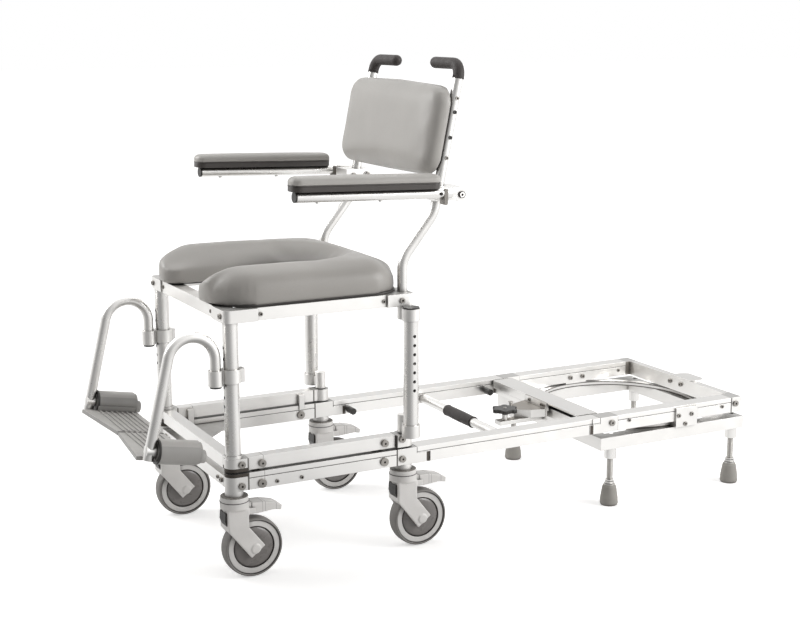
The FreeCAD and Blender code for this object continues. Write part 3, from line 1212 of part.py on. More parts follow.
for word, side in SIDES:
    for x, z, wall, kind in CHAIR_BOLTS:
        chair_bolts.append(side_bolt(side, x, z, wall, *kind))
    chair_bolts += [
        side_bolt(side, *PIVOT_SCREW, f"({SIDE} + bracket_out)", *SMALL),
        inner_bolt(side, f"{PIVOT_X} - 32", PIVOT_Z, f"({SIDE} - bracket_in)", *PLAIN),
        inner_bolt(side, f"{PIVOT_X} + 4", PIVOT_Z, f"({SIDE} - bracket_in)", *PLAIN),
        end_bolt(f"{FRONT} - casting_radius", across(side, f"{SIDE} - 3"), SEAT_BOLT, *PLAIN),
        end_bolt(f"{FRONT} - casting_radius + 3", across(side, f"{SIDE} - 62"), SEAT_BOLT,
                 *SMALL)]
    for rise in CANE_SCREWS:
        height = value(f"seat_top + {rise}")
        chair_bolts.append(side_bolt(side, f"{cane_at(height):.6f}", f"{height:.6f}",
                                     cane_face, *SMALL))
keep("chair_bolts", *chair_bolts)


# Output ------------------------------------------------------------------------------

doc.recompute()
faults = [item.Label for item in doc.Objects
          if "Invalid" in item.State or "Error" in item.State]
if faults:
    raise RuntimeError(f"failed objects: {faults}")
for item in nodes:
    if item.Shape.isNull() or not item.Shape.isValid() or not item.Shape.Solids:
        raise RuntimeError(f"bad shape: {item.Label}")
os.makedirs("parts", exist_ok=True)
for item in nodes:
    item.Shape.exportStep(f"parts/{item.Label}.step")
print(len(nodes), "sub-parts")
whole = Part.makeCompound([item.Shape for item in nodes]).BoundBox
print("X", whole.XMin, whole.XMax, "Y", whole.YMin, whole.YMax, "Z", whole.ZMin, whole.ZMax)
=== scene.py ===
import json
import math

import bmesh
import bpy
import numpy as np
from mathutils import Matrix, Vector

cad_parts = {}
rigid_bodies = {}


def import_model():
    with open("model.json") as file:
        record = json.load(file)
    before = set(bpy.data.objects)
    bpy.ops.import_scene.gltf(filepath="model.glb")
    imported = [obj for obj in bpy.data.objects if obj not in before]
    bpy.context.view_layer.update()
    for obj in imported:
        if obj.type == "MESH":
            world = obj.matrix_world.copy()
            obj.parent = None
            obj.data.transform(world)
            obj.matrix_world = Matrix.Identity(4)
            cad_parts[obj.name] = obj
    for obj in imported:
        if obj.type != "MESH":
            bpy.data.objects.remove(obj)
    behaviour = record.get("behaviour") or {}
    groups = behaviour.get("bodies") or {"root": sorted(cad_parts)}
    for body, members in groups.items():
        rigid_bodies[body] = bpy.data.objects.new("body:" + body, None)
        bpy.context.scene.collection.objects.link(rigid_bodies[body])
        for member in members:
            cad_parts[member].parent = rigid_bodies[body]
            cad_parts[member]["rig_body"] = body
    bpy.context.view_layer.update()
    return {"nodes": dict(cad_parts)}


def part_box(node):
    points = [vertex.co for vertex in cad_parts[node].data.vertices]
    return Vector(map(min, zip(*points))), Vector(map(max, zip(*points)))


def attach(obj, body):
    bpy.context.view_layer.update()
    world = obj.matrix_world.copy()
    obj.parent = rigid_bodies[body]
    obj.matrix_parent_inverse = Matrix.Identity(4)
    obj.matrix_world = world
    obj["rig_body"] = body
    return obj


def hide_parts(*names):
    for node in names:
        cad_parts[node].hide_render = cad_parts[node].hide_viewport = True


# The looks of a rolling shower chair with a bridge and a bath unit. Lengths in the lists
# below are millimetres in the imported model's frame; meshes are made in metres.

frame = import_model()

MM = 0.001
# X of the front and rear legs and of the bath unit, Y of the legs, Z of the seat frame
FRONT = -571.65
REAR = FRONT + 388.0
TUB = REAR + 554.0
SIDE = 211.75
SEAT_TOP = 562.6
# The canes' lean and the foot of their straight part
LEAN = math.radians(11.4)
CANE_X, CANE_Z = FRONT + 469, 722.6
# (x, z) of the arms' pivot, and of the treads' hinge
ARM_PIVOT = (FRONT + 498, 768.0)
TREAD_X, TREAD_Z = FRONT - 173, 295
# A caster's axle behind its swivel and above the floor, and half the axle's length
CASTER_TRAIL = 36
AXLE_Z = 63.5
PIN_END = 24.5
SIDES = (("near", -1), ("far", 1))
CORNERS = [(f"{word}_{end}", x, side * SIDE) for word, side in SIDES
           for end, x in (("front", FRONT), ("rear", REAR))]


# Materials ---------------------------------------------------------------------------

# Dark tone of seams and stains, also of the painted shade in crevices and gaps
DIRT_AND_SHADE = (0.055, 0.048, 0.043)


class Look:
    """One material; each method adds nodes and returns a socket."""

    def __init__(self, name):
        self.material = bpy.data.materials.new(name)
        self.material.use_nodes = True
        self.tree = self.material.node_tree
        self.tree.nodes.clear()
        self.shader = self.add("ShaderNodeBsdfPrincipled")
        self.output = self.add("ShaderNodeOutputMaterial")
        self.join(self.shader.outputs[0], self.output.inputs["Surface"])
        self.place = self.add("ShaderNodeTexCoord").outputs["Object"]

    def add(self, kind, **settings):
        node = self.tree.nodes.new(kind)
        for key, item in settings.items():
            setattr(node, key, item)
        return node

    def join(self, source, target):
        self.tree.links.new(source, target)

    def feed(self, target, source):
        if isinstance(source, bpy.types.NodeSocket):
            self.join(source, target)
        else:
            target.default_value = source

    def maths(self, operation, first, second, third=0.0):
        node = self.add("ShaderNodeMath", operation=operation)
        for target, source in zip(node.inputs, (first, second, third)):
            self.feed(target, source)
        return node.outputs[0]

    def noise(self, scale, detail=3.0, stretch=(1, 1, 1)):
        mapping = self.add("ShaderNodeMapping")
        mapping.inputs["Scale"].default_value = stretch
        self.join(self.place, mapping.inputs["Vector"])
        node = self.add("ShaderNodeTexNoise")
        node.inputs["Scale"].default_value = scale
        node.inputs["Detail"].default_value = detail
        self.join(mapping.outputs[0], node.inputs["Vector"])
        return node.outputs["Fac"]

    def cells(self, scale, feature="F1"):
        node = self.add("ShaderNodeTexVoronoi", feature=feature)
        node.inputs["Scale"].default_value = scale
        self.join(self.place, node.inputs["Vector"])
        return node.outputs["Distance"]

    def ramp(self, source, low, high, start=0.0, end=1.0):
        node = self.add("ShaderNodeMapRange")
        for key, item in (("Value", source), ("From Min", low), ("From Max", high),
                          ("To Min", start), ("To Max", end)):
            self.feed(node.inputs[key], item)
        return node.outputs[0]

    def mix(self, factor, first, second):
        node = self.add("ShaderNodeMix", data_type="RGBA")
        self.feed(node.inputs["Factor"], factor)
        for target, source in zip(node.inputs[6:8], (first, second)):
            self.feed(target, (*source, 1) if isinstance(source, tuple) else source)
        return node.outputs[2]

    def rounded_edges(self, radius):
        """A normal that rounds sharp edges, and a mask that is 1 on them."""
        bevel = self.add("ShaderNodeBevel", samples=4)
        bevel.inputs["Radius"].default_value = radius * MM
        flat = self.add("ShaderNodeNewGeometry").outputs["Normal"]
        dot = self.add("ShaderNodeVectorMath", operation="DOT_PRODUCT")
        self.join(bevel.outputs[0], dot.inputs[0])
        self.join(flat, dot.inputs[1])
        return bevel.outputs[0], self.ramp(dot.outputs["Value"], 0.95, 0.75)

    def bump(self, height, distance, strength, normal=None):
        node = self.add("ShaderNodeBump")
        node.inputs["Distance"].default_value = distance * MM
        node.inputs["Strength"].default_value = strength
        self.feed(node.inputs["Height"], height)
        if normal is not None:
            self.join(normal, node.inputs["Normal"])
        return node.outputs[0]

    def near(self, axis, positions, half):
        """A mask that is 1 within a distance of any of several planes."""
        parts = self.add("ShaderNodeSeparateXYZ")
        self.join(self.place, parts.inputs[0])
        total = 0.0
        for position in positions:
            hit = self.maths("COMPARE", parts.outputs[axis], position * MM, half * MM)
            total = self.maths("ADD", hit, total)
        return self.maths("MINIMUM", total, 1.0)

    def marked(self, base, marks):
        """Thin dark lines on planes: each mark is (axis, positions, half, depth)."""
        for axis, positions, half, depth in marks:
            line = self.maths("MULTIPLY", self.near(axis, positions, half), depth)
            base = self.mix(line, base, DIRT_AND_SHADE)
        return base

    def discs(self, base, centres, rings):
        """Round marks seen along Y: rings are (inner radius, outer radius, colour)."""
        for centre in centres:
            flat = self.add("ShaderNodeVectorMath", operation="MULTIPLY")
            self.join(self.place, flat.inputs[0])
            flat.inputs[1].default_value = (1, 0, 1)
            reach = self.add("ShaderNodeVectorMath", operation="DISTANCE")
            self.join(flat.outputs[0], reach.inputs[0])
            reach.inputs[1].default_value = (centre[0] * MM, 0, centre[1] * MM)
            for inner, outer, colour in rings:
                hit = self.maths("COMPARE", reach.outputs["Value"],
                                 (inner + outer) / 2 * MM, (outer - inner) / 2 * MM)
                base = self.mix(hit, base, colour)
        return base

    def shaded_crevices(self, base, depth=0.7, reach=14.0, tint=DIRT_AND_SHADE):
        """Painted shade: darker in the crevices, up to a depth between 0 and 1."""
        node = self.add("ShaderNodeAmbientOcclusion", samples=6)
        node.inputs["Distance"].default_value = reach * MM
        return self.mix(self.ramp(node.outputs["AO"], 0.85, 0.35, 0.0, depth), base, tint)

    def finish(self, colour, rough, normal, metal=0.0):
        self.feed(self.shader.inputs["Base Color"], colour)
        self.feed(self.shader.inputs["Roughness"], rough)
        self.feed(self.shader.inputs["Metallic"], metal)
        self.join(normal, self.shader.inputs["Normal"])
        return self.material


def tone(colour, share):
    return tuple(min(1.0, part * share) for part in colour)


def metal_look(name, colour, rough, grain=(1, 1, 1), marks=(), edge=0.5, patches=(),
               centres=(), rings=()):
    """Anodised or cast metal: faint grain, mottled gloss, darker edges, dark seams, and
    crevices darkened as painted shade.

    Marks are dark lines, patches are painted shade, dark areas where two planes' bands
    cross, and the rings are drawn round the centres."""
    look = Look(name)
    drift = look.ramp(look.noise(9.0, 4.0), 0.3, 0.7)
    fine = look.noise(900.0, 2.0, grain)
    base = look.mix(drift, tone(colour, 0.96), tone(colour, 1.03))
    base = look.mix(look.maths("MULTIPLY", look.ramp(fine, 0.35, 0.75), 0.10), base,
                    tone(colour, 0.80))
    normal, edges = look.rounded_edges(edge)
    base = look.mix(look.maths("MULTIPLY", edges, 0.5), base, tone(colour, 0.60))
    base = look.shaded_crevices(look.marked(base, marks))
    # Patches are painted shade: dark where shade falls under a ledge or into a gap
    for patch in patches:
        along, rise = [look.near(*part) for part in patch]
        base = look.mix(look.maths("MULTIPLY", along, rise), base, (0.10, 0.088, 0.078))
    base = look.discs(base, centres, rings)
    gloss = look.ramp(look.noise(35.0, 3.0), 0.3, 0.7, rough - 0.04, rough + 0.05)
    return look.finish(base, gloss, look.bump(fine, 0.02, 0.25, normal), 1.0)


def thread_look(name, colour, pitch):
    """A screw thread along Z on a steel rod; its turns are painted darker and lighter as
    shade and highlight, its crevices darkened as painted shade.
    """
    look = Look(name)
    wave = look.add("ShaderNodeTexWave", bands_direction="Z")
    wave.inputs["Scale"].default_value = 2 * math.pi / (20 * pitch * MM)
    look.join(look.place, wave.inputs["Vector"])
    turns = wave.outputs["Fac"]
    base = look.mix(turns, tone(colour, 0.45), tone(colour, 1.1))
    stain = look.ramp(look.noise(60.0), 0.4, 0.8, 0.0, 0.3)
    base = look.shaded_crevices(look.mix(stain, base, DIRT_AND_SHADE))
    return look.finish(base, 0.34, look.bump(turns, 0.5, 0.6), 1.0)


def plastic_look(name, colour, rough, cell=1500.0, depth=0.03, edge=0.6, wear=0.12,
                 coat=0.0, marks=()):
    """Moulded plastic or rubber: spark-eroded grain, uneven tone, rubbed edges, and
    crevices darkened as painted shade.
    """
    look = Look(name)
    drift = look.ramp(look.noise(14.0, 4.0), 0.3, 0.7)
    base = look.mix(drift, tone(colour, 0.93), tone(colour, 1.06))
    specks = look.ramp(look.noise(650.0, 2.0), 0.55, 0.8, 0.0, 0.25)
    base = look.mix(specks, base, tone(colour, 0.75))
    normal, edges = look.rounded_edges(edge)
    lighter = tuple(part + (1 - part) * 0.35 for part in colour)
    base = look.mix(look.maths("MULTIPLY", edges, wear), base, lighter)
    base = look.shaded_crevices(look.marked(base, marks), 0.6)
    gloss = look.ramp(look.noise(60.0, 3.0), 0.3, 0.7, rough - 0.06, rough + 0.06)
    look.shader.inputs["Coat Weight"].default_value = coat
    return look.finish(base, gloss, look.bump(look.cells(cell), depth, 0.35, normal))


def vinyl_look(name, colour, hollow=None):
    """Coated upholstery: pebbled leather grain, soft sheen, painted shade in crevices and
    in a deep hollow.

    The hollow is its centre's X, the reach where its painted shade ends, near and far, and
    the heights from full shade to none."""
    look = Look(name)
    drift = look.ramp(look.noise(7.0, 5.0), 0.3, 0.7)
    base = look.mix(drift, tone(colour, 0.95), tone(colour, 1.05))
    grain = look.cells(520.0, "SMOOTH_F1")
    valleys = look.ramp(grain, 0.35, 0.75, 0.0, 0.22)
    base = look.mix(valleys, base, tone(colour, 0.82))
    base = look.shaded_crevices(base, 0.75, 80.0, tone(colour, 0.42))
    # Painted shade in the seat's hollow, deepest low down and near its centre
    if hollow:
        centre, near, far, low, high = hollow
        flat = look.add("ShaderNodeVectorMath", operation="MULTIPLY")
        look.join(look.place, flat.inputs[0])
        flat.inputs[1].default_value = (1, 1, 0)
        reach = look.add("ShaderNodeVectorMath", operation="DISTANCE")
        look.join(flat.outputs[0], reach.inputs[0])
        reach.inputs[1].default_value = (centre * MM, 0, 0)
        parts = look.add("ShaderNodeSeparateXYZ")
        look.join(look.place, parts.inputs[0])
        inside = look.ramp(reach.outputs["Value"], near * MM, far * MM, 0.72, 0.0)
        deep = look.ramp(parts.outputs["Z"], low * MM, high * MM, 1.0, 0.0)
        base = look.mix(look.maths("MULTIPLY", inside, deep), base, tone(colour, 0.40))
    wrinkle = look.noise(160.0, 5.0)
    height = look.maths("MULTIPLY_ADD", wrinkle, 0.6, look.maths("SUBTRACT", 1.0, grain))
    gloss = look.ramp(look.noise(30.0, 4.0), 0.3, 0.7, 0.36, 0.46)
    look.shader.inputs["Sheen Weight"].default_value = 0.12
    look.shader.inputs["Sheen Roughness"].default_value = 0.5
    return look.finish(base, gloss, look.bump(height, 0.12, 0.30))


ALU = (0.93, 0.915, 0.89)
SEAMS = ("X", (FRONT + 24.9, REAR - 23.6, TUB + 338), 1.7, 0.85)
RAIL_LINES = (SEAMS, ("X", (FRONT + 60, TUB), 0.45, 0.7), ("Z", (214.8,), 0.9, 0.7))
BEAM_LINES = (("Y", (-186.25, 186.25), 0.45, 0.8),)
SEAT_LINES = (("X", (FRONT + 53, REAR - 45, FRONT + 26), 0.45, 0.8),)
ALONG_X, ALONG_Y, ALONG_Z = (0.02, 1, 1), (1, 0.02, 1), (1, 1, 0.02)
# The shaded top copies are darker: painted shade on faces that look up
rail_side = metal_look("anodised_rail", ALU, 0.36, ALONG_X, RAIL_LINES, 0.9)
rail_shaded_top = metal_look("anodised_rail_shaded_top", tone(ALU, 0.74), 0.40, ALONG_X, RAIL_LINES, 0.9)
beam_side = metal_look("anodised_cross", ALU, 0.36, ALONG_Y, BEAM_LINES, 0.9)
beam_shaded_top = metal_look("anodised_cross_shaded_top", tone(ALU, 0.70), 0.40, ALONG_Y, BEAM_LINES, 0.9)
seat_metal = metal_look("anodised_seat", ALU, 0.36, ALONG_X, SEAT_LINES, 0.9)
tube_metal = metal_look("anodised_tube", tone(ALU, 0.92), 0.28, ALONG_Z, edge=0.3)
collar_metal = metal_look("foot_collar", tone(ALU, 0.8), 0.36,
                          marks=(("Z", (52.5, 58.5, 64.5), 1.1, 0.85),))
cast = metal_look("cast_aluminium", tone(ALU, 0.93), 0.42, edge=0.9)
cast_shaded_top = metal_look("cast_aluminium_shaded_top", tone(ALU, 0.50), 0.48, edge=0.9)
# A dark copy of the cast metal: painted shade on the latch bracket's upper faces and on the
# far tub-end corner's faces that look towards the near side
cast_in_shade = metal_look("cast_aluminium_in_shade", (0.30, 0.28, 0.255), 0.5, edge=0.9)
# Painted shade on the corner castings: a shadow band at the front corners between the
# carriage's casting and the base's, and shade in the lap joints' gaps
FRONT_CORNER_SHADOW = (("X", (FRONT,), 25.4), ("Z", (228.2,), 9.3))
LAP_GAP_SHADE = ((("X", (REAR + 52.4,), 3.2), ("Z", (201,), 10.6)),
        (("X", (TUB - 73.4,), 4.5), ("Z", (201,), 10.6)))
cast_corner = metal_look("cast_corner", tone(ALU, 0.93), 0.42, marks=(SEAMS,), edge=0.9,
                         patches=(FRONT_CORNER_SHADOW, *LAP_GAP_SHADE))
pivot_look = metal_look("pivot_metal", tone(ALU, 0.9), 0.40, edge=0.3,
                        centres=(ARM_PIVOT,),
                        rings=((5.6, 7.4, DIRT_AND_SHADE), (0, 2.7, (0.02, 0.018, 0.016))))
# The two dark lines on the ring are painted shade in the gaps where it meets the frames
ring_metal = metal_look("ring_metal", tone(ALU, 0.9), 0.40,
                        marks=(("Z", (184.6, 176.4), 1.4, 0.85),))
thread = thread_look("thread_steel", (0.55, 0.53, 0.50), 1.75)
steel = metal_look("fastener_steel", (0.38, 0.36, 0.335), 0.32, edge=0.3)
# Dark screws, and painted shade inside the bolt heads' sockets
steel_dark_and_socket_shade = metal_look("steel_socket_shade_and_dark_screws", (0.05, 0.048, 0.045), 0.5, edge=0.2)
# Grey plastic of the tread plugs, also laid on the corner gussets as painted shade from the
# seat
grey_plug_and_gusset_shade = plastic_look("grey_plastic_and_gusset_shade", (0.42, 0.41, 0.395), 0.5)
caster_light = plastic_look("caster_plastic", (0.74, 0.722, 0.70), 0.38, edge=0.8, coat=0.1)
washer_look = plastic_look("washer_plastic", (0.20, 0.185, 0.165), 0.45)
rim_look = plastic_look("rim_plastic", (0.70, 0.685, 0.665), 0.35, edge=0.5, coat=0.15)
# Dark lines across the pedals: painted shade between their ridges
PEDAL_RIDGE_SHADE = [end + step for end in (FRONT, REAR) for step in (55, 61, 85)]
pedal_look = plastic_look("pedal_plastic", (0.74, 0.722, 0.70), 0.40, edge=0.8, coat=0.1,
                          marks=(("X", PEDAL_RIDGE_SHADE, 0.8, 0.3),))
hub_look = plastic_look("hub_plastic", (0.20, 0.187, 0.178), 0.30, depth=0.01, coat=0.2)
tyre_look = plastic_look("tyre_rubber", (0.235, 0.224, 0.212), 0.58, 900.0, 0.05)
line_look = plastic_look("tyre_line", (0.05, 0.047, 0.045), 0.5)
black = plastic_look("black_plastic", (0.030, 0.028, 0.026), 0.42)
band_look = plastic_look("pad_band", (0.060, 0.052, 0.047), 0.38, coat=0.1)
grip = plastic_look("grip_rubber", (0.042, 0.035, 0.033), 0.62, 420.0, 0.25, 0.8, 0.2)
GAP = (("Y", (0,), 6, 0.85),)
# The tread's top faces take a lighter copy: painted light from above
tread_look = plastic_look("tread_plastic", (0.36, 0.35, 0.335), 0.48, 1100.0, 0.05, 0.8)
tread_lit_top = plastic_look("tread_plastic_lit_top", (0.47, 0.455, 0.435), 0.5, 1100.0, 0.05, 0.8,
                         marks=GAP)
plate_look = plastic_look("arm_plate", (0.30, 0.28, 0.255), 0.45)
foot_look = plastic_look("foot_rubber", (0.33, 0.315, 0.29), 0.6, 800.0, 0.06)
vinyl = vinyl_look("grey_vinyl", (0.40, 0.382, 0.358),
                   (FRONT + 222, 80, 140, SEAT_TOP + 34, SEAT_TOP + 66))
vinyl_light = vinyl_look("grey_vinyl_back", (0.47, 0.452, 0.425))


# Meshes ------------------------------------------------------------------------------

def piece(name, points, faces, body, look, slot, replaced=(), smooth=True):
    """A mesh object that rides on a body; its points are given in millimetres."""
    mesh = bpy.data.meshes.new(name)
    mesh.from_pydata([tuple(part * MM for part in p) for p in points], [], faces)
    item = bpy.data.objects.new(name, mesh)
    bpy.context.scene.collection.objects.link(item)
    for material in (look if isinstance(look, list) else [look]):
        mesh.materials.append(material)
    mesh.polygons.foreach_set("use_smooth", [smooth] * len(mesh.polygons))
    mesh.validate()
    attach(item, body)
    if replaced:
        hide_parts(*replaced)
    return item


def applied(item):
    """Put the result of an object's modifiers into its mesh."""
    shape = bpy.data.meshes.new_from_object(
        item.evaluated_get(bpy.context.evaluated_depsgraph_get()))
    item.modifiers.clear()
    item.data = shape


def smooth_by_angle(item, angle=35.0):
    """Smooth shading with edges marked sharp above an angle."""
    shape = bmesh.new()
    shape.from_mesh(item.data)
    limit = math.radians(angle)
    for face in shape.faces:
        face.smooth = True
    for edge in shape.edges:
        edge.smooth = len(edge.link_faces) == 2 and edge.calc_face_angle() < limit
    shape.to_mesh(item.data)
    shape.free()


def lathe(centre, profile, axis=1):
    """Points and faces of a closed outline of (radius, station) turned about an axis."""
    count = 72
    points = []
    for step in range(count):
        turn = 2 * math.pi * step / count
        for radius, station in profile:
            ring = [radius * math.cos(turn), radius * math.sin(turn)]
            ring.insert(axis, station)
            points.append(tuple(a + b for a, b in zip(centre, ring)))
    size = len(profile)
    flip = -1 if axis == 1 else 1
    faces = []
    for step in range(count):
        after = (step + 1) % count
        for k in range(size):
            follow = (k + 1) % size
            faces.append([step * size + k, after * size + k, after * size + follow,
                          step * size + follow][::flip])
    return points, faces


def sleeve(path, radii):
    """Points and faces of a tube round a path, one radius for each point."""
    count = 28
    spots = [Vector(p) for p in path]
    points, faces = [], []
    up = None
    for i, spot in enumerate(spots):
        ahead = spots[min(i + 1, len(spots) - 1)] - spots[max(i - 1, 0)]
        ahead.normalize()
        if up is None:
            up = ahead.orthogonal().normalized()
        up = (up - ahead * up.dot(ahead)).normalized()
        right = ahead.cross(up)
        for k in range(count):
            turn = 2 * math.pi * k / count
            points.append(spot + (up * math.cos(turn) + right * math.sin(turn)) * radii[i])
        if i:
            low = (i - 1) * count
            faces += [[low + k, low + (k + 1) % count, low + count + (k + 1) % count,
                       low + count + k] for k in range(count)]
    faces.append(list(range(count))[::-1])
    faces.append([(len(spots) - 1) * count + k for k in range(count)])
    return points, faces


def moulded(node, name, look, voxel=1.3, rounds=6, choose=None):
    """A CAD node with its edges melted round, as a moulding or casting has them."""
    source = frame["nodes"][node]
    item = bpy.data.objects.new(name, source.data.copy())
    bpy.context.scene.collection.objects.link(item)
    item.data.materials.clear()
    for material in (look if isinstance(look, list) else [look]):
        item.data.materials.append(material)
    weld = item.modifiers.new("weld", "WELD")
    weld.merge_threshold = 0.00001
    remesh = item.modifiers.new("remesh", "REMESH")
    remesh.mode = "VOXEL"
    remesh.voxel_size = voxel * MM
    soften = item.modifiers.new("soften", "SMOOTH")
    soften.iterations = rounds
    thin = item.modifiers.new("thin", "DECIMATE")
    thin.ratio = 0.3
    applied(item)
    item.data.polygons.foreach_set("use_smooth", [True] * len(item.data.polygons))
    if choose:
        for face in item.data.polygons:
            face.material_index = choose(face.center / MM)
    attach(item, source["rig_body"])
    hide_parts(node)
    return item


def dress(nodes, look, choose=None):
    """Give CAD nodes a material; a test of a face may pick another one for it."""
    for node in nodes.split():
        item = frame["nodes"][node]
        item.data.materials.clear()
        for material in (look if isinstance(look, list) else [look]):
            item.data.materials.append(material)
        for face in item.data.polygons:
            face.material_index = choose(face.center / MM, face.normal) if choose else 0


# Soft pads ---------------------------------------------------------------------------

def rounded_outline(corners, count=10):
    """A closed outline through corners of (x, y, radius), each rounded."""
    outline = []
    size = len(corners)
    for i, (x, y, radius) in enumerate(corners):
        here = Vector((x, y))
        back = (Vector(corners[i - 1][:2]) - here).normalized()
        ahead = (Vector(corners[(i + 1) % size][:2]) - here).normalized()
        half = back.angle(ahead) / 2
        reach = radius / math.tan(half)
        centre = here + (back + ahead).normalized() * (radius / math.sin(half))
        first = here + back * reach - centre
        last = here + ahead * reach - centre
        turn = first.angle_signed(last)
        for k in range(count + 1):
            spot = Matrix.Rotation(-turn * k / count, 2) @ first
            outline.append(tuple(centre + spot))
    return outline


def inside_distance(spots, outline):
    """The distance from each spot to an outline, as an array."""
    ends = np.array(outline)
    starts = np.roll(ends, 1, axis=0)
    step = ends - starts
    length = np.maximum((step ** 2).sum(1), 1e-9)
    best = np.full(len(spots), 1e9)
    for start, along, size in zip(starts, step, length):
        share = np.clip(((spots - start) @ along) / size, 0, 1)
        gap = spots - start - share[:, None] * along
        best = np.minimum(best, np.sqrt((gap ** 2).sum(1)))
    return best


def pad_core(name, outline, voxel, height):
    """A solid pad on z = 0 whose top follows height(distance, x, y), remeshed."""
    count = len(outline)
    blank = 30.0
    points = [(x, y, z) for z in (0.0, blank) for x, y in outline]
    faces = [[i, (i + 1) % count, count + (i + 1) % count, count + i] for i in range(count)]
    faces += [list(range(count))[::-1], list(range(count, 2 * count))]
    mesh = bpy.data.meshes.new(name)
    mesh.from_pydata([tuple(c * MM for c in p) for p in points], [], faces)
    item = bpy.data.objects.new(name, mesh)
    bpy.context.scene.collection.objects.link(item)
    remesh = item.modifiers.new("remesh", "REMESH")
    remesh.mode = "VOXEL"
    remesh.voxel_size = voxel * MM
    applied(item)
    spots = coords(item) / MM
    depth = inside_distance(spots[:, :2], outline)
    share = np.clip(spots[:, 2] / blank, 0, 1)
    spots[:, 2] = share * height(depth, spots[:, 0], spots[:, 1])
    set_coords(item, spots * MM)
    return item


def coords(item):
    spots = np.zeros(len(item.data.vertices) * 3, np.float32)
    item.data.vertices.foreach_get("co", spots)
    return spots.reshape(-1, 3).astype(float)


def set_coords(item, spots):
    item.data.vertices.foreach_set("co", np.asarray(spots, np.float32).ravel())
    item.data.update()


def inflate(item, pressure, cap, floor):
    """Blow a pad up as stuffed cloth; what lies below the floor height stays put."""
    start = coords(item)
    pins = item.vertex_groups.new(name="pins")
    held = [i for i, spot in enumerate(start) if spot[2] < floor * MM]
    pins.add(held, 1.0, "REPLACE")
    cloth = item.modifiers.new("cloth", "CLOTH")
    settings = cloth.settings
    settings.quality = 6
    settings.mass = 0.3
    settings.tension_stiffness = 25
    settings.compression_stiffness = 25
    settings.shear_stiffness = 12
    settings.bending_stiffness = 1.5
    settings.use_pressure = True
    settings.uniform_pressure_force = pressure
    settings.effector_weights.gravity = 0.0
    settings.vertex_group_mass = "pins"
    frames = 20
    cloth.point_cache.frame_end = frames
    for step in range(1, frames + 1):
        bpy.context.scene.frame_set(step)
    result = item.evaluated_get(bpy.context.evaluated_depsgraph_get()).data
    end = np.zeros(len(result.vertices) * 3, np.float32)
    result.vertices.foreach_get("co", end)
    shift = end.reshape(-1, 3).astype(float) - start
    size = np.sqrt((shift ** 2).sum(1, keepdims=True))
    shift *= np.minimum(1.0, cap * MM / np.maximum(size, 1e-9))
    item.modifiers.clear()
    set_coords(item, start + shift)
    bpy.context.scene.frame_set(1)


def softened(item, rounds):
    """Even out a pad's surface and give it one more level of detail."""
    soften = item.modifiers.new("soften", "SMOOTH")
    soften.iterations = rounds
    finer = item.modifiers.new("finer", "SUBSURF")
    finer.levels = finer.render_levels = 1
    applied(item)
    item.data.polygons.foreach_set("use_smooth", [True] * len(item.data.polygons))


def fitted(item, *limits):
    """Stretch a pad so that it fills pairs of limits along X, Y and Z."""
    spots = coords(item) / MM
    low, high = spots.min(axis=0), spots.max(axis=0)
    start, end = np.array(limits).T
    set_coords(item, (start + (spots - low) / (high - low) * (end - start)) * MM)


def settle(item, place, look, body, node):
    """Move a pad's points to their place, then let it ride in its solid's stead."""
    set_coords(item, place(coords(item) / MM) * MM)
    shape = bmesh.new()
    shape.from_mesh(item.data)
    bmesh.ops.recalc_face_normals(shape, faces=shape.faces)
    shape.to_mesh(item.data)
    shape.free()
    item.data.materials.clear()
    item.data.materials.append(look)
    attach(item, body)
    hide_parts(node)


def slab(outline, low, high, rim=0.8):
    """Points and faces of a flat plate of an outline, its rims rounded by insets."""
    centre = np.mean(outline, axis=0)
    ring = np.array(outline)
    ahead = np.roll(ring, -1, axis=0) - np.roll(ring, 1, axis=0)
    normal = np.stack([-ahead[:, 1], ahead[:, 0]], axis=1)
    normal /= np.sqrt((normal ** 2).sum(1, keepdims=True))
    if ((centre - ring) * normal).sum() < 0:
        normal = -normal
    turns = [math.pi / 2 * k / 3 for k in range(4)]
    rows = [(rim * (1 - math.sin(turn)), low + rim * (1 - math.cos(turn)))
            for turn in turns]
    rows += [(rim * (1 - math.cos(turn)), high - rim * (1 - math.sin(turn)))
             for turn in turns]
    points, faces = [], []
    count = len(ring)
    for inset, z in rows:
        points += [(*spot, z) for spot in ring + normal * inset]
    for row in range(len(rows) - 1):
        below = row * count
        above = below + count
        faces += [[below + i, below + (i + 1) % count, above + (i + 1) % count, above + i]
                  for i in range(count)]
    faces.append(list(range(count))[::-1])
    faces.append([(len(rows) - 1) * count + i for i in range(count)])
    return points, faces


def quarter(distance, reach):
    """A rise from 0 to 1 over a reach, as steep at its start as a round edge."""
    share = 1 - np.clip(distance / reach, 0, 1)
    return np.sqrt(1 - share ** 2)


# Seat cushion: a horseshoe with a commode opening
seat_x = (FRONT - 29, REAR + 6)
seat_y = SIDE + 8
throat = 78
throat_x = FRONT + 215
blank_x = (seat_x[0] + 8, seat_x[1] - 8)
blank_y = seat_y - 8
seat_outline = rounded_outline([
    (blank_x[0], -blank_y, 92), (blank_x[1], -blank_y, 76), (blank_x[1], blank_y, 76),
    (blank_x[0], blank_y, 92), (blank_x[0], throat, 40), (throat_x + throat, throat, 77.5),
    (throat_x + throat, -throat, 77.5), (blank_x[0], -throat, 40)])


def eased(distance, reach):
    """A rise from 0 to 1 over a reach, level at both ends."""
    return 0.5 - 0.5 * np.cos(math.pi * np.clip(distance / reach, 0, 1))


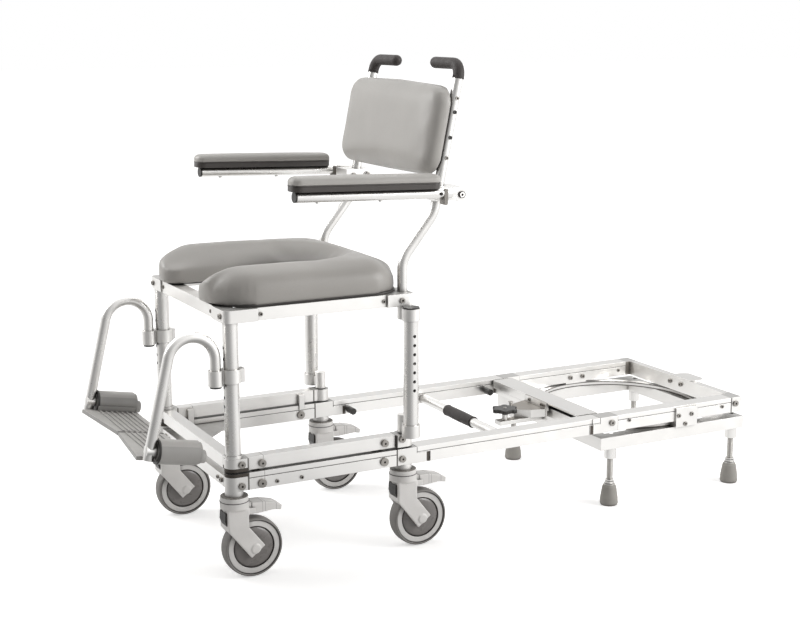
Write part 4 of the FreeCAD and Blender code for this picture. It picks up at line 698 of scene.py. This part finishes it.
def seat_height(depth, x, y):
    """Rolled sides and ends, and a dished throat that is shallower behind."""
    side = quarter(np.minimum(depth + 30 * (np.abs(y) < 150), seat_y - np.abs(y)), 56)
    ends = quarter(x - seat_x[0], 85) * quarter(seat_x[1] - x, 80)
    past = np.hypot(np.maximum(x - throat_x, 0), y) - throat
    bowl = eased(past, 74 - 16 * np.clip((x - throat_x) / 60, 0, 1))
    slope = 1 - 0.10 * np.clip((x - throat_x + 60) / 160, 0, 1)
    return 22 + 40 * side * ends * slope * (0.14 + 0.86 * bowl)


def at_seat(spots):
    """Draw the outer front corners back, as the covers are cut."""
    outer = np.clip((np.abs(spots[:, 1]) - 110) / 110, 0, 1) ** 2
    front = np.clip((FRONT + 90 - spots[:, 0]) / 100, 0, 1)
    spots[:, 0] += 10 * outer * front
    return spots


cushion = pad_core("seat_cushion_vinyl", seat_outline, 5, seat_height)
inflate(cushion, 3.2, 20, 2)
softened(cushion, 10)
fitted(cushion, seat_x, (-seat_y, seat_y), (SEAT_TOP + 2.8, SEAT_TOP + 75))
settle(cushion, at_seat, vinyl, "carriage", "seat_cushion")
board_x = (FRONT - 4, REAR + 3)
board_y = SIDE + 4
gap = throat + 10
board = rounded_outline([
    (board_x[0], -board_y, 62), (board_x[1], -board_y, 62), (board_x[1], board_y, 62),
    (board_x[0], board_y, 62), (board_x[0], gap, 36), (throat_x + gap, gap, 87),
    (throat_x + gap, -gap, 87), (board_x[0], -gap, 36)])
piece("seat_board", *slab(board, SEAT_TOP + 0.1, SEAT_TOP + 4.5), "carriage", black,
      "black_plastic", smooth=False)


# Back pad: a flat-faced vinyl pad with broad rolled edges on a thin dark board
BACK_LOW = 797.0
BACK_X = CANE_X + (BACK_LOW - CANE_Z) * math.tan(LEAN)
BACK_HIGH = 193 / math.cos(LEAN)
BACK_HALF = SIDE + 3


def at_back(depth):
    """A place for pads drawn as (across, up, thickness) on the leaning canes."""
    def place(spots):
        x = -depth - spots[:, 2]
        z = spots[:, 1] * (1 - 0.03 * np.clip(-spots[:, 0] / BACK_HALF, 0, 1))
        return np.stack([BACK_X + x * math.cos(LEAN) + z * math.sin(LEAN), spots[:, 0],
                         BACK_LOW - x * math.sin(LEAN) + z * math.cos(LEAN)], axis=1)
    return place


def back_outline(inset):
    wide = BACK_HALF - inset
    return rounded_outline([(-wide, inset, 38), (wide, inset, 38),
                            (wide, BACK_HIGH - inset, 40), (-wide, BACK_HIGH - inset, 40)])


def back_height(depth, x, y):
    crown = np.cos(np.clip(x / SIDE, -1, 1) * math.pi / 2)
    return 17 + 22 * quarter(depth, 26) + 2 * crown


back = pad_core("back_pad_vinyl", back_outline(4), 5, back_height)
inflate(back, 1.0, 3, 2)
softened(back, 24)
fitted(back, (-BACK_HALF, BACK_HALF), (0, BACK_HIGH), (0, 44.2))
settle(back, at_back(13.2), vinyl_light, "carriage", "back_pad")
points, faces = slab(back_outline(6), 0, 2.2, 0.6)
piece("back_pad_board", [tuple(p) for p in at_back(11.6)(np.array(points))], faces,
      "carriage", black, "black_plastic", smooth=False)


# Arm pads
TILT = math.radians(1.75)
ARM_BAND = (15.5, 28.0)


def at_arm(side, rise):
    def place(spots):
        x, z = spots[:, 0], spots[:, 2] + rise
        return np.stack([ARM_PIVOT[0] + x * math.cos(TILT) + z * math.sin(TILT),
                         spots[:, 1] + side * (SIDE + 56),
                         ARM_PIVOT[1] - x * math.sin(TILT) + z * math.cos(TILT)],
                        axis=1)
    return place


def arm_outline(inset):
    low, high, half = -391 + inset, -59 - inset, 25 - inset
    radius = 20 - inset / 2
    return rounded_outline([(low, -half, radius), (high, -half, radius),
                            (high, half, radius), (low, half, radius)])


def arm_height(depth, x, y):
    return 8 + 8 * quarter(depth, 15)


for word, side in SIDES:
    pad = pad_core(f"arm_pad_vinyl_{word}", arm_outline(2), 3.5, arm_height)
    inflate(pad, 2.0, 4, 2)
    softened(pad, 4)
    fitted(pad, (-391, -59), (-25, 25), (0, 18.6))
    settle(pad, at_arm(side, ARM_BAND[1]), vinyl_light, f"arm_{word}",
           f"arm_pad_{word}")
    for name, inset, low, high in (("band", 0.6, ARM_BAND[0] + 0.1, ARM_BAND[1] - 2),
                                   ("lip", 0.0, ARM_BAND[1] - 2, ARM_BAND[1] + 0.4)):
        points, faces = slab(arm_outline(inset), low, high)
        placed = at_arm(side, 0)(np.array(points))
        piece(f"arm_pad_{name}_{word}", [tuple(p) for p in placed], faces, f"arm_{word}",
              band_look, "black_plastic", smooth=False)
    plate = rounded_outline([(-49.5, -19, 3), (-40.5, -19, 3), (-40.5, 14, 3),
                             (-49.5, 14, 3)], 4)
    points, faces = slab(plate, -11.6, 8)
    placed = at_arm(side, 0)(np.array([(x, z, y) for x, y, z in points]))
    piece(f"arm_plate_{word}", [tuple(p) for p in placed], faces, f"arm_{word}", plate_look,
          "black_plastic", smooth=False)
    screw = [(0.4, -12.6), (1.5, -12.6), (1.6, -13.2), (3.2, -13.2), (3.6, -12.7),
             (3.6, -10.6), (0.4, -10.6)]
    points, faces = lathe((-57, 0, 4.4), screw if side < 0 else
                          [(radius, -station) for radius, station in screw][::-1])
    placed = at_arm(side, 0)(np.array(points))
    piece(f"arm_screw_{word}", [tuple(p) for p in placed], faces, f"arm_{word}", steel_dark_and_socket_shade,
          "steel_fasteners", smooth=False)


# Casters -----------------------------------------------------------------------------

def mirrored(half):
    return half + [(radius, -station) for radius, station in reversed(half)]


# Half outlines of (radius, station), from a wheel's outer face to its middle
CORE = mirrored([(4.3, -17), (13.4, -17), (14, -16.4), (14.6, -14.9), (24, -14.7),
                 (33, -13.9), (39, -12.6), (42, -11.2), (42.8, -10.2), (43.2, -8.6),
                 (44.4, -8.6), (44.8, -12.3), (45.6, -13), (55.6, -13), (56.4, -12.2)])
TYRE = mirrored([(56.6, -12.4), (57.0, -13.6), (57.8, -15.0), (58.8, -15.8), (59.9, -15.9),
                 (61.1, -15.1), (62.1, -13.4), (62.8, -10.8), (63.3, -7.0), (63.5, -3.0)])


def by_radius(item, centre, steps):
    """Pick a material slot for each face by its distance from a wheel's axle."""
    for face in item.data.polygons:
        spot = face.center / MM
        radius = math.hypot(spot.x - centre[0], spot.z - centre[2])
        face.material_index = sum(radius > step for step in steps)


for name, x, y in CORNERS:
    axle = (x + CASTER_TRAIL, y, AXLE_Z)
    core = piece(f"wheel_disc_{name}", *lathe(axle, CORE), f"wheel_{name}",
                 [hub_look, line_look, rim_look], "wheel_rim", [f"wheel_core_{name}"])
    by_radius(core, axle, (43.1, 44.7))
    smooth_by_angle(core, 40)
    tyre = piece(f"tyre_round_{name}", *lathe(axle, TYRE), f"wheel_{name}",
                 [line_look, tyre_look], "grey_tyre", [f"tyre_{name}"])
    by_radius(tyre, axle, (57.5,))
    smooth_by_angle(tyre, 40)
    fork = moulded(f"caster_fork_{name}", f"fork_body_{name}", [caster_light, washer_look],
                   choose=lambda spot: int(spot.z > 177.0))
    body = fork["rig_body"]
    points, faces = lathe((x, y, 0), [(28.6, 166.4), (30.25, 166.4), (30.25, 167.6),
                                      (28.6, 167.6)], axis=2)
    piece(f"swivel_line_{name}", points, faces, body, line_look, "black_plastic",
          smooth=False)
    for end in (-1, 1):
        wall = y + end * PIN_END
        points, faces = lathe((axle[0], 0, axle[2]),
                              [(9.9, wall + end * 0.5), (9.9, wall - end * 0.4),
                               (10.7, wall - end * 0.4), (10.7, wall + end * 0.2)][::end])
        piece(f"axle_line_{name}_{'inner' if end > 0 else 'outer'}", points, faces, body,
              line_look, "black_plastic", smooth=False)
    block = [(-16, 146), (-26, 146), (-27, 128), (-20, 111), (-16, 111)]
    points = [(x + a, y + wide, z) for wide in (-16, 16) for a, z in block]
    size = len(block)
    faces = [[k, (k + 1) % size, size + (k + 1) % size, size + k] for k in range(size)]
    faces += [list(range(size))[::-1], list(range(size, 2 * size))]
    piece(f"brake_block_{name}", points, faces, body, black, "black_plastic", smooth=False)
    block = rounded_outline([(x + 24, -15.6, 1), (x + 30.9, -15.6, 1), (x + 30.9, 15.6, 1),
                             (x + 24, 15.6, 1)], 3)
    points, faces = slab([(a, y + b) for a, b in block], 146.5, 161.5)
    piece(f"pedal_cover_{name}", points, faces, body, caster_light, "caster_plastic")
    moulded(f"brake_pedal_{name}", f"pedal_body_{name}", pedal_look,
            voxel=1.2)


# Rubber, knobs and grips -------------------------------------------------------------

moulded("star_knob", "star_knob_body", black, voxel=1.0, rounds=8)
tie = [(part[0] + part[1]) / 2 / MM for part in zip(*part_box("bridge_grip"))]
GRIP = [(11.2, -61), (13.0, -61), (13.7, -60.2), (13.8, -58.5), (13.3, -56), (12.9, -52),
        (13.3, -30), (13.6, 0)]
piece("bridge_grip_sleeve", *lathe(tie, mirrored(GRIP)), "bridge", grip, "grip_rubber",
      ["bridge_grip"])

GRIP_ARC = 29
for word, side in SIDES:
    y = side * (SIDE - 14)
    start, corner = [Vector((CANE_X + (z - CANE_Z) * math.tan(LEAN), y, z))
                     for z in (1003.0, 1033.0)]
    tip = corner - Vector((0, side * 119, 0))
    down = (start - corner).normalized()
    along = (tip - corner).normalized()
    path = [start, start + (corner - start) * 0.05, start + (corner - start) * 0.08]
    for k in range(9):
        turn = math.pi / 2 * k / 8
        path.append(corner + down * GRIP_ARC * (1 - math.sin(turn))
                    + along * GRIP_ARC * (1 - math.cos(turn)))
    radii = [12.9, 12.9] + [12.2] * 10
    path.append(tip - along * 24)
    radii.append(12.3)
    for k in range(6):
        turn = math.pi / 2 * k / 5
        path.append(tip - along * 12.4 * (1 - math.sin(turn)))
        radii.append(max(0.4, 12.4 * math.cos(turn)))
    handle = piece(f"push_grip_sleeve_{word}", *sleeve(path, radii), "carriage", grip,
                   "grip_rubber")
    if side < 0:
        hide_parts("push_grips")


# Carried-over parts ------------------------------------------------------------------

def bolted(nodes, black_ones=lambda spot: False):
    """Give bolt heads a dark metal and paint their sockets darker as shade, head by head.
    """
    for node in nodes.split():
        item = frame["nodes"][node]
        dress(node, [steel, steel_dark_and_socket_shade, black])
        keys = [tuple(round(part / MM, 1) for part in v.co) for v in item.data.vertices]
        leader = {key: key for key in keys}

        def top(key):
            while leader[key] != key:
                leader[key] = leader[leader[key]]
                key = leader[key]
            return key

        for face in item.data.polygons:
            corners = [top(keys[index]) for index in face.vertices]
            for corner in corners[1:]:
                leader[top(corner)] = top(corners[0])
        heads = {}
        for key in keys:
            heads.setdefault(top(key), []).append(key)
        for face in item.data.polygons:
            head = np.array(heads[top(keys[face.vertices[0]])])
            low, high = head.min(axis=0), head.max(axis=0)
            axis = int(np.argmin(high - low))
            gap = np.array(face.center / MM) - (low + high) / 2
            gap[axis] = 0
            socket = float(np.linalg.norm(gap)) < 2.55
            face.material_index = 2 if black_ones((low + high) / 2) else int(socket)


GUSSET_LOW = 209.9
CLAMP_CAP_LOW = 536.1
SOCKET_PLUG_TOP = 410.1
ARM_STOP_X = FRONT + 120.9
FOOT_COLLAR_LOW, FOOT_ROD_LOW = 49.9, 66.1
BACK_SCREWS = (860, 950)


# Faces that look up take the darker copy, painted shade
def upward(spot, normal):
    return int(normal.z > 0.9)


dress("base_rails tub_rails carriage_rails bridge_rails", [rail_side, rail_shaded_top], upward)
# The gussets' grey is painted shade from the seat above them
dress("base_cross_rails", [beam_side, beam_shaded_top, grey_plug_and_gusset_shade],
      lambda spot, normal: 2 if spot.z > GUSSET_LOW and spot.x > FRONT + 13.1 else
      upward(spot, normal))
dress("tub_cross_rails carriage_cross_rails", [beam_side, beam_shaded_top], upward)
dress("seat_rails", seat_metal)
dress("carriage_corners", [cast_corner, cast_shaded_top], upward)
# The far tub-end corner's faces that look to the near side take painted shade
dress("frame_corners", [cast_corner, cast_shaded_top, cast_in_shade],
      lambda spot, normal: 2 if spot.x > TUB + 300 and normal.y < -0.5 and spot.y > 100
      else upward(spot, normal))
dress("seat_corners turntable_blocks foot_frame", [cast, cast_shaded_top], upward)
# The latch bracket's upper faces take painted shade
dress("latch_bracket", [cast, cast_in_shade], lambda spot, normal: int(normal.z > 0.4))
dress("arm_brackets", pivot_look)
dress("legs back_canes bridge_tie_bar hanger_near hanger_far foot_sleeves", tube_metal)
dress("turntable_ring", ring_metal)
dress("carriage_rollers", cast)
dress("latch_knob_front latch_knob_rear", black)
bolted("frame_bolts")
bolted("chair_bolts", lambda spot: BACK_SCREWS[0] < spot[2] < BACK_SCREWS[1])
dress("leg_clamps", [cast, black],
      lambda spot, normal: int(spot.z > CLAMP_CAP_LOW and abs(spot.y) > SIDE + 20))
dress("footrest_sockets", [cast, black],
      lambda spot, normal: int(spot.z < SOCKET_PLUG_TOP))
dress("arm_near arm_far", [tube_metal, black],
      lambda spot, normal: int(spot.x < ARM_STOP_X))
# Top faces lighter: painted light from above
dress("footplate_near footplate_far", [tread_look, tread_lit_top],
      lambda spot, normal: int(normal.z > 0.6))
for name, _, _ in CORNERS:
    dress(f"foot_{name}", [foot_look, collar_metal, thread],
          lambda spot, normal: int(spot.z > FOOT_COLLAR_LOW) + int(spot.z > FOOT_ROD_LOW))

# Dark collars and grey plugs at the ends of the treads' tubular edges
DIP = math.radians(10)
for word, side in SIDES:
    for name, look, slot, rings in (
            ("collar", black, "black_plastic",
             [(20, 11.4), (25.4, 11.4), (25.8, 12.0), (25.8, 15.2), (25.2, 15.8),
              (20, 15.8)]),
            ("plug", grey_plug_and_gusset_shade, "tread_plastic",
             [(2, 101), (2, 115), (12, 115), (13.4, 113.6), (13.8, 102.6),
              (13.8, 101)])):
        points, faces = lathe((0, 0, -7 if name == "plug" else 0), rings, axis=0)
        placed = [(TREAD_X + x * math.cos(DIP) + z * math.sin(DIP), side * SIDE + y,
                   TREAD_Z - x * math.sin(DIP) + z * math.cos(DIP)) for x, y, z in points]
        smooth_by_angle(piece(f"tread_{name}_{word}", placed, faces,
                              frame["nodes"][f"footplate_{word}"]["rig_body"], look, slot))


# Stage, light and camera -------------------------------------------------------------

world = bpy.data.worlds.new("studio")
bpy.context.scene.world = world
world.use_nodes = True
nodes = world.node_tree.nodes
link = world.node_tree.links.new
nodes.clear()


def world_maths(operation, *sources):
    node = nodes.new("ShaderNodeMath")
    node.operation = operation
    for target, source in zip(node.inputs, sources):
        if isinstance(source, bpy.types.NodeSocket):
            link(source, target)
        else:
            target.default_value = source
    return node.outputs[0]


# The studio is darker towards the chair's front left, which only reflections show.
FLAG = Vector((-0.855, -0.518, 0.0))
FLAG_FADE = (0.40, 0.97, 1.03, 0.36)
ahead = nodes.new("ShaderNodeTexCoord").outputs["Generated"]
toward = nodes.new("ShaderNodeVectorMath")
toward.operation = "DOT_PRODUCT"
link(ahead, toward.inputs[0])
toward.inputs[1].default_value = FLAG
shade = nodes.new("ShaderNodeMapRange")
for key, number in zip(("From Min", "From Max", "To Min", "To Max"), FLAG_FADE):
    shade.inputs[key].default_value = number
link(toward.outputs["Value"], shade.inputs["Value"])
path_kind = nodes.new("ShaderNodeLightPath")
seen = path_kind.outputs["Is Camera Ray"]
gloss = path_kind.outputs["Is Glossy Ray"]
level = world_maths("MULTIPLY", gloss, shade.outputs["Result"])
AMBIENT = 0.24
rest = world_maths("MULTIPLY", world_maths("SUBTRACT", 1.0, gloss), AMBIENT)
level = world_maths("MAXIMUM", seen, world_maths("ADD", level, rest))
sky = nodes.new("ShaderNodeBackground")
sky.inputs["Color"].default_value = (1, 1, 1, 1)
link(level, sky.inputs["Strength"])
link(sky.outputs[0], nodes.new("ShaderNodeOutputWorld").inputs["Surface"])

floor_look = Look("studio_floor")
floor_look.tree.nodes.remove(floor_look.shader)
matt = floor_look.add("ShaderNodeBsdfDiffuse")
matt.inputs["Color"].default_value = (0.90, 0.89, 0.88, 1)
glow = floor_look.add("ShaderNodeEmission")
rays = floor_look.add("ShaderNodeLightPath")
length = floor_look.add("ShaderNodeVectorMath", operation="LENGTH")
floor_look.join(floor_look.place, length.inputs[0])
away = floor_look.ramp(length.outputs["Value"], 1.0, 3.0, 0.48, 1.0)
floor_look.join(floor_look.maths("MULTIPLY", rays.outputs["Is Camera Ray"], away),
                glow.inputs["Strength"])
seen_floor = floor_look.add("ShaderNodeAddShader")
floor_look.join(matt.outputs[0], seen_floor.inputs[0])
floor_look.join(glow.outputs[0], seen_floor.inputs[1])
heading = floor_look.add("ShaderNodeVectorMath", operation="NORMALIZE")
floor_look.join(floor_look.place, heading.inputs[0])
facing = floor_look.add("ShaderNodeVectorMath", operation="DOT_PRODUCT")
floor_look.join(heading.outputs[0], facing.inputs[0])
facing.inputs[1].default_value = FLAG
gleam = floor_look.add("ShaderNodeEmission")
floor_look.join(floor_look.ramp(facing.outputs["Value"], *FLAG_FADE),
                gleam.inputs["Strength"])
both = floor_look.add("ShaderNodeMixShader")
floor_look.join(rays.outputs["Is Glossy Ray"], both.inputs[0])
floor_look.join(seen_floor.outputs[0], both.inputs[1])
floor_look.join(gleam.outputs[0], both.inputs[2])
floor_look.join(both.outputs[0], floor_look.output.inputs["Surface"])
mesh = bpy.data.meshes.new("floor")
FAR = 30
mesh.from_pydata([(-FAR, -FAR, 0), (FAR, -FAR, 0), (FAR, FAR, 0), (-FAR, FAR, 0)], [],
                 [(0, 1, 2, 3)])
mesh.materials.append(floor_look.material)
floor = bpy.data.objects.new("floor", mesh)
bpy.context.scene.collection.objects.link(floor)


def lamp(name, place, target, size, power):
    light = bpy.data.lights.new(name, "AREA")
    light.shape = "RECTANGLE"
    light.size, light.size_y = size
    light.energy = power
    item = bpy.data.objects.new(name, light)
    item.location = place
    aim = Vector(target) - Vector(place)
    item.rotation_euler = aim.to_track_quat("-Z", "Y").to_euler()
    bpy.context.scene.collection.objects.link(item)


lamp("left", (-2.6, 1.9, 2.5), (-0.3, 0, 0.5), (2.2, 2.2), 78)
lamp("top", (0.4, 0.8, 3.3), (0, 0, 0), (3.0, 2.4), 27)
lamp("right", (2.6, -2.5, 1.9), (-0.1, 0, 0.4), (2.0, 2.4), 98)

view = bpy.data.cameras.new("camera")
view.sensor_width = 36.0
FOCAL_PIXELS, FRAME_PIXELS = 1421.7, 800
view.lens = view.sensor_width * FOCAL_PIXELS / FRAME_PIXELS
camera = bpy.data.objects.new("camera", view)
camera.location = ((FRONT - 985.2) * MM, (-2594.3 - SIDE) * MM, 1120.7 * MM)
camera.rotation_euler = (math.radians(90 - 11.884), 0, math.radians(-27.771))
bpy.context.scene.collection.objects.link(camera)
bpy.context.scene.camera = camera
bpy.context.scene.view_settings.view_transform = "Standard"
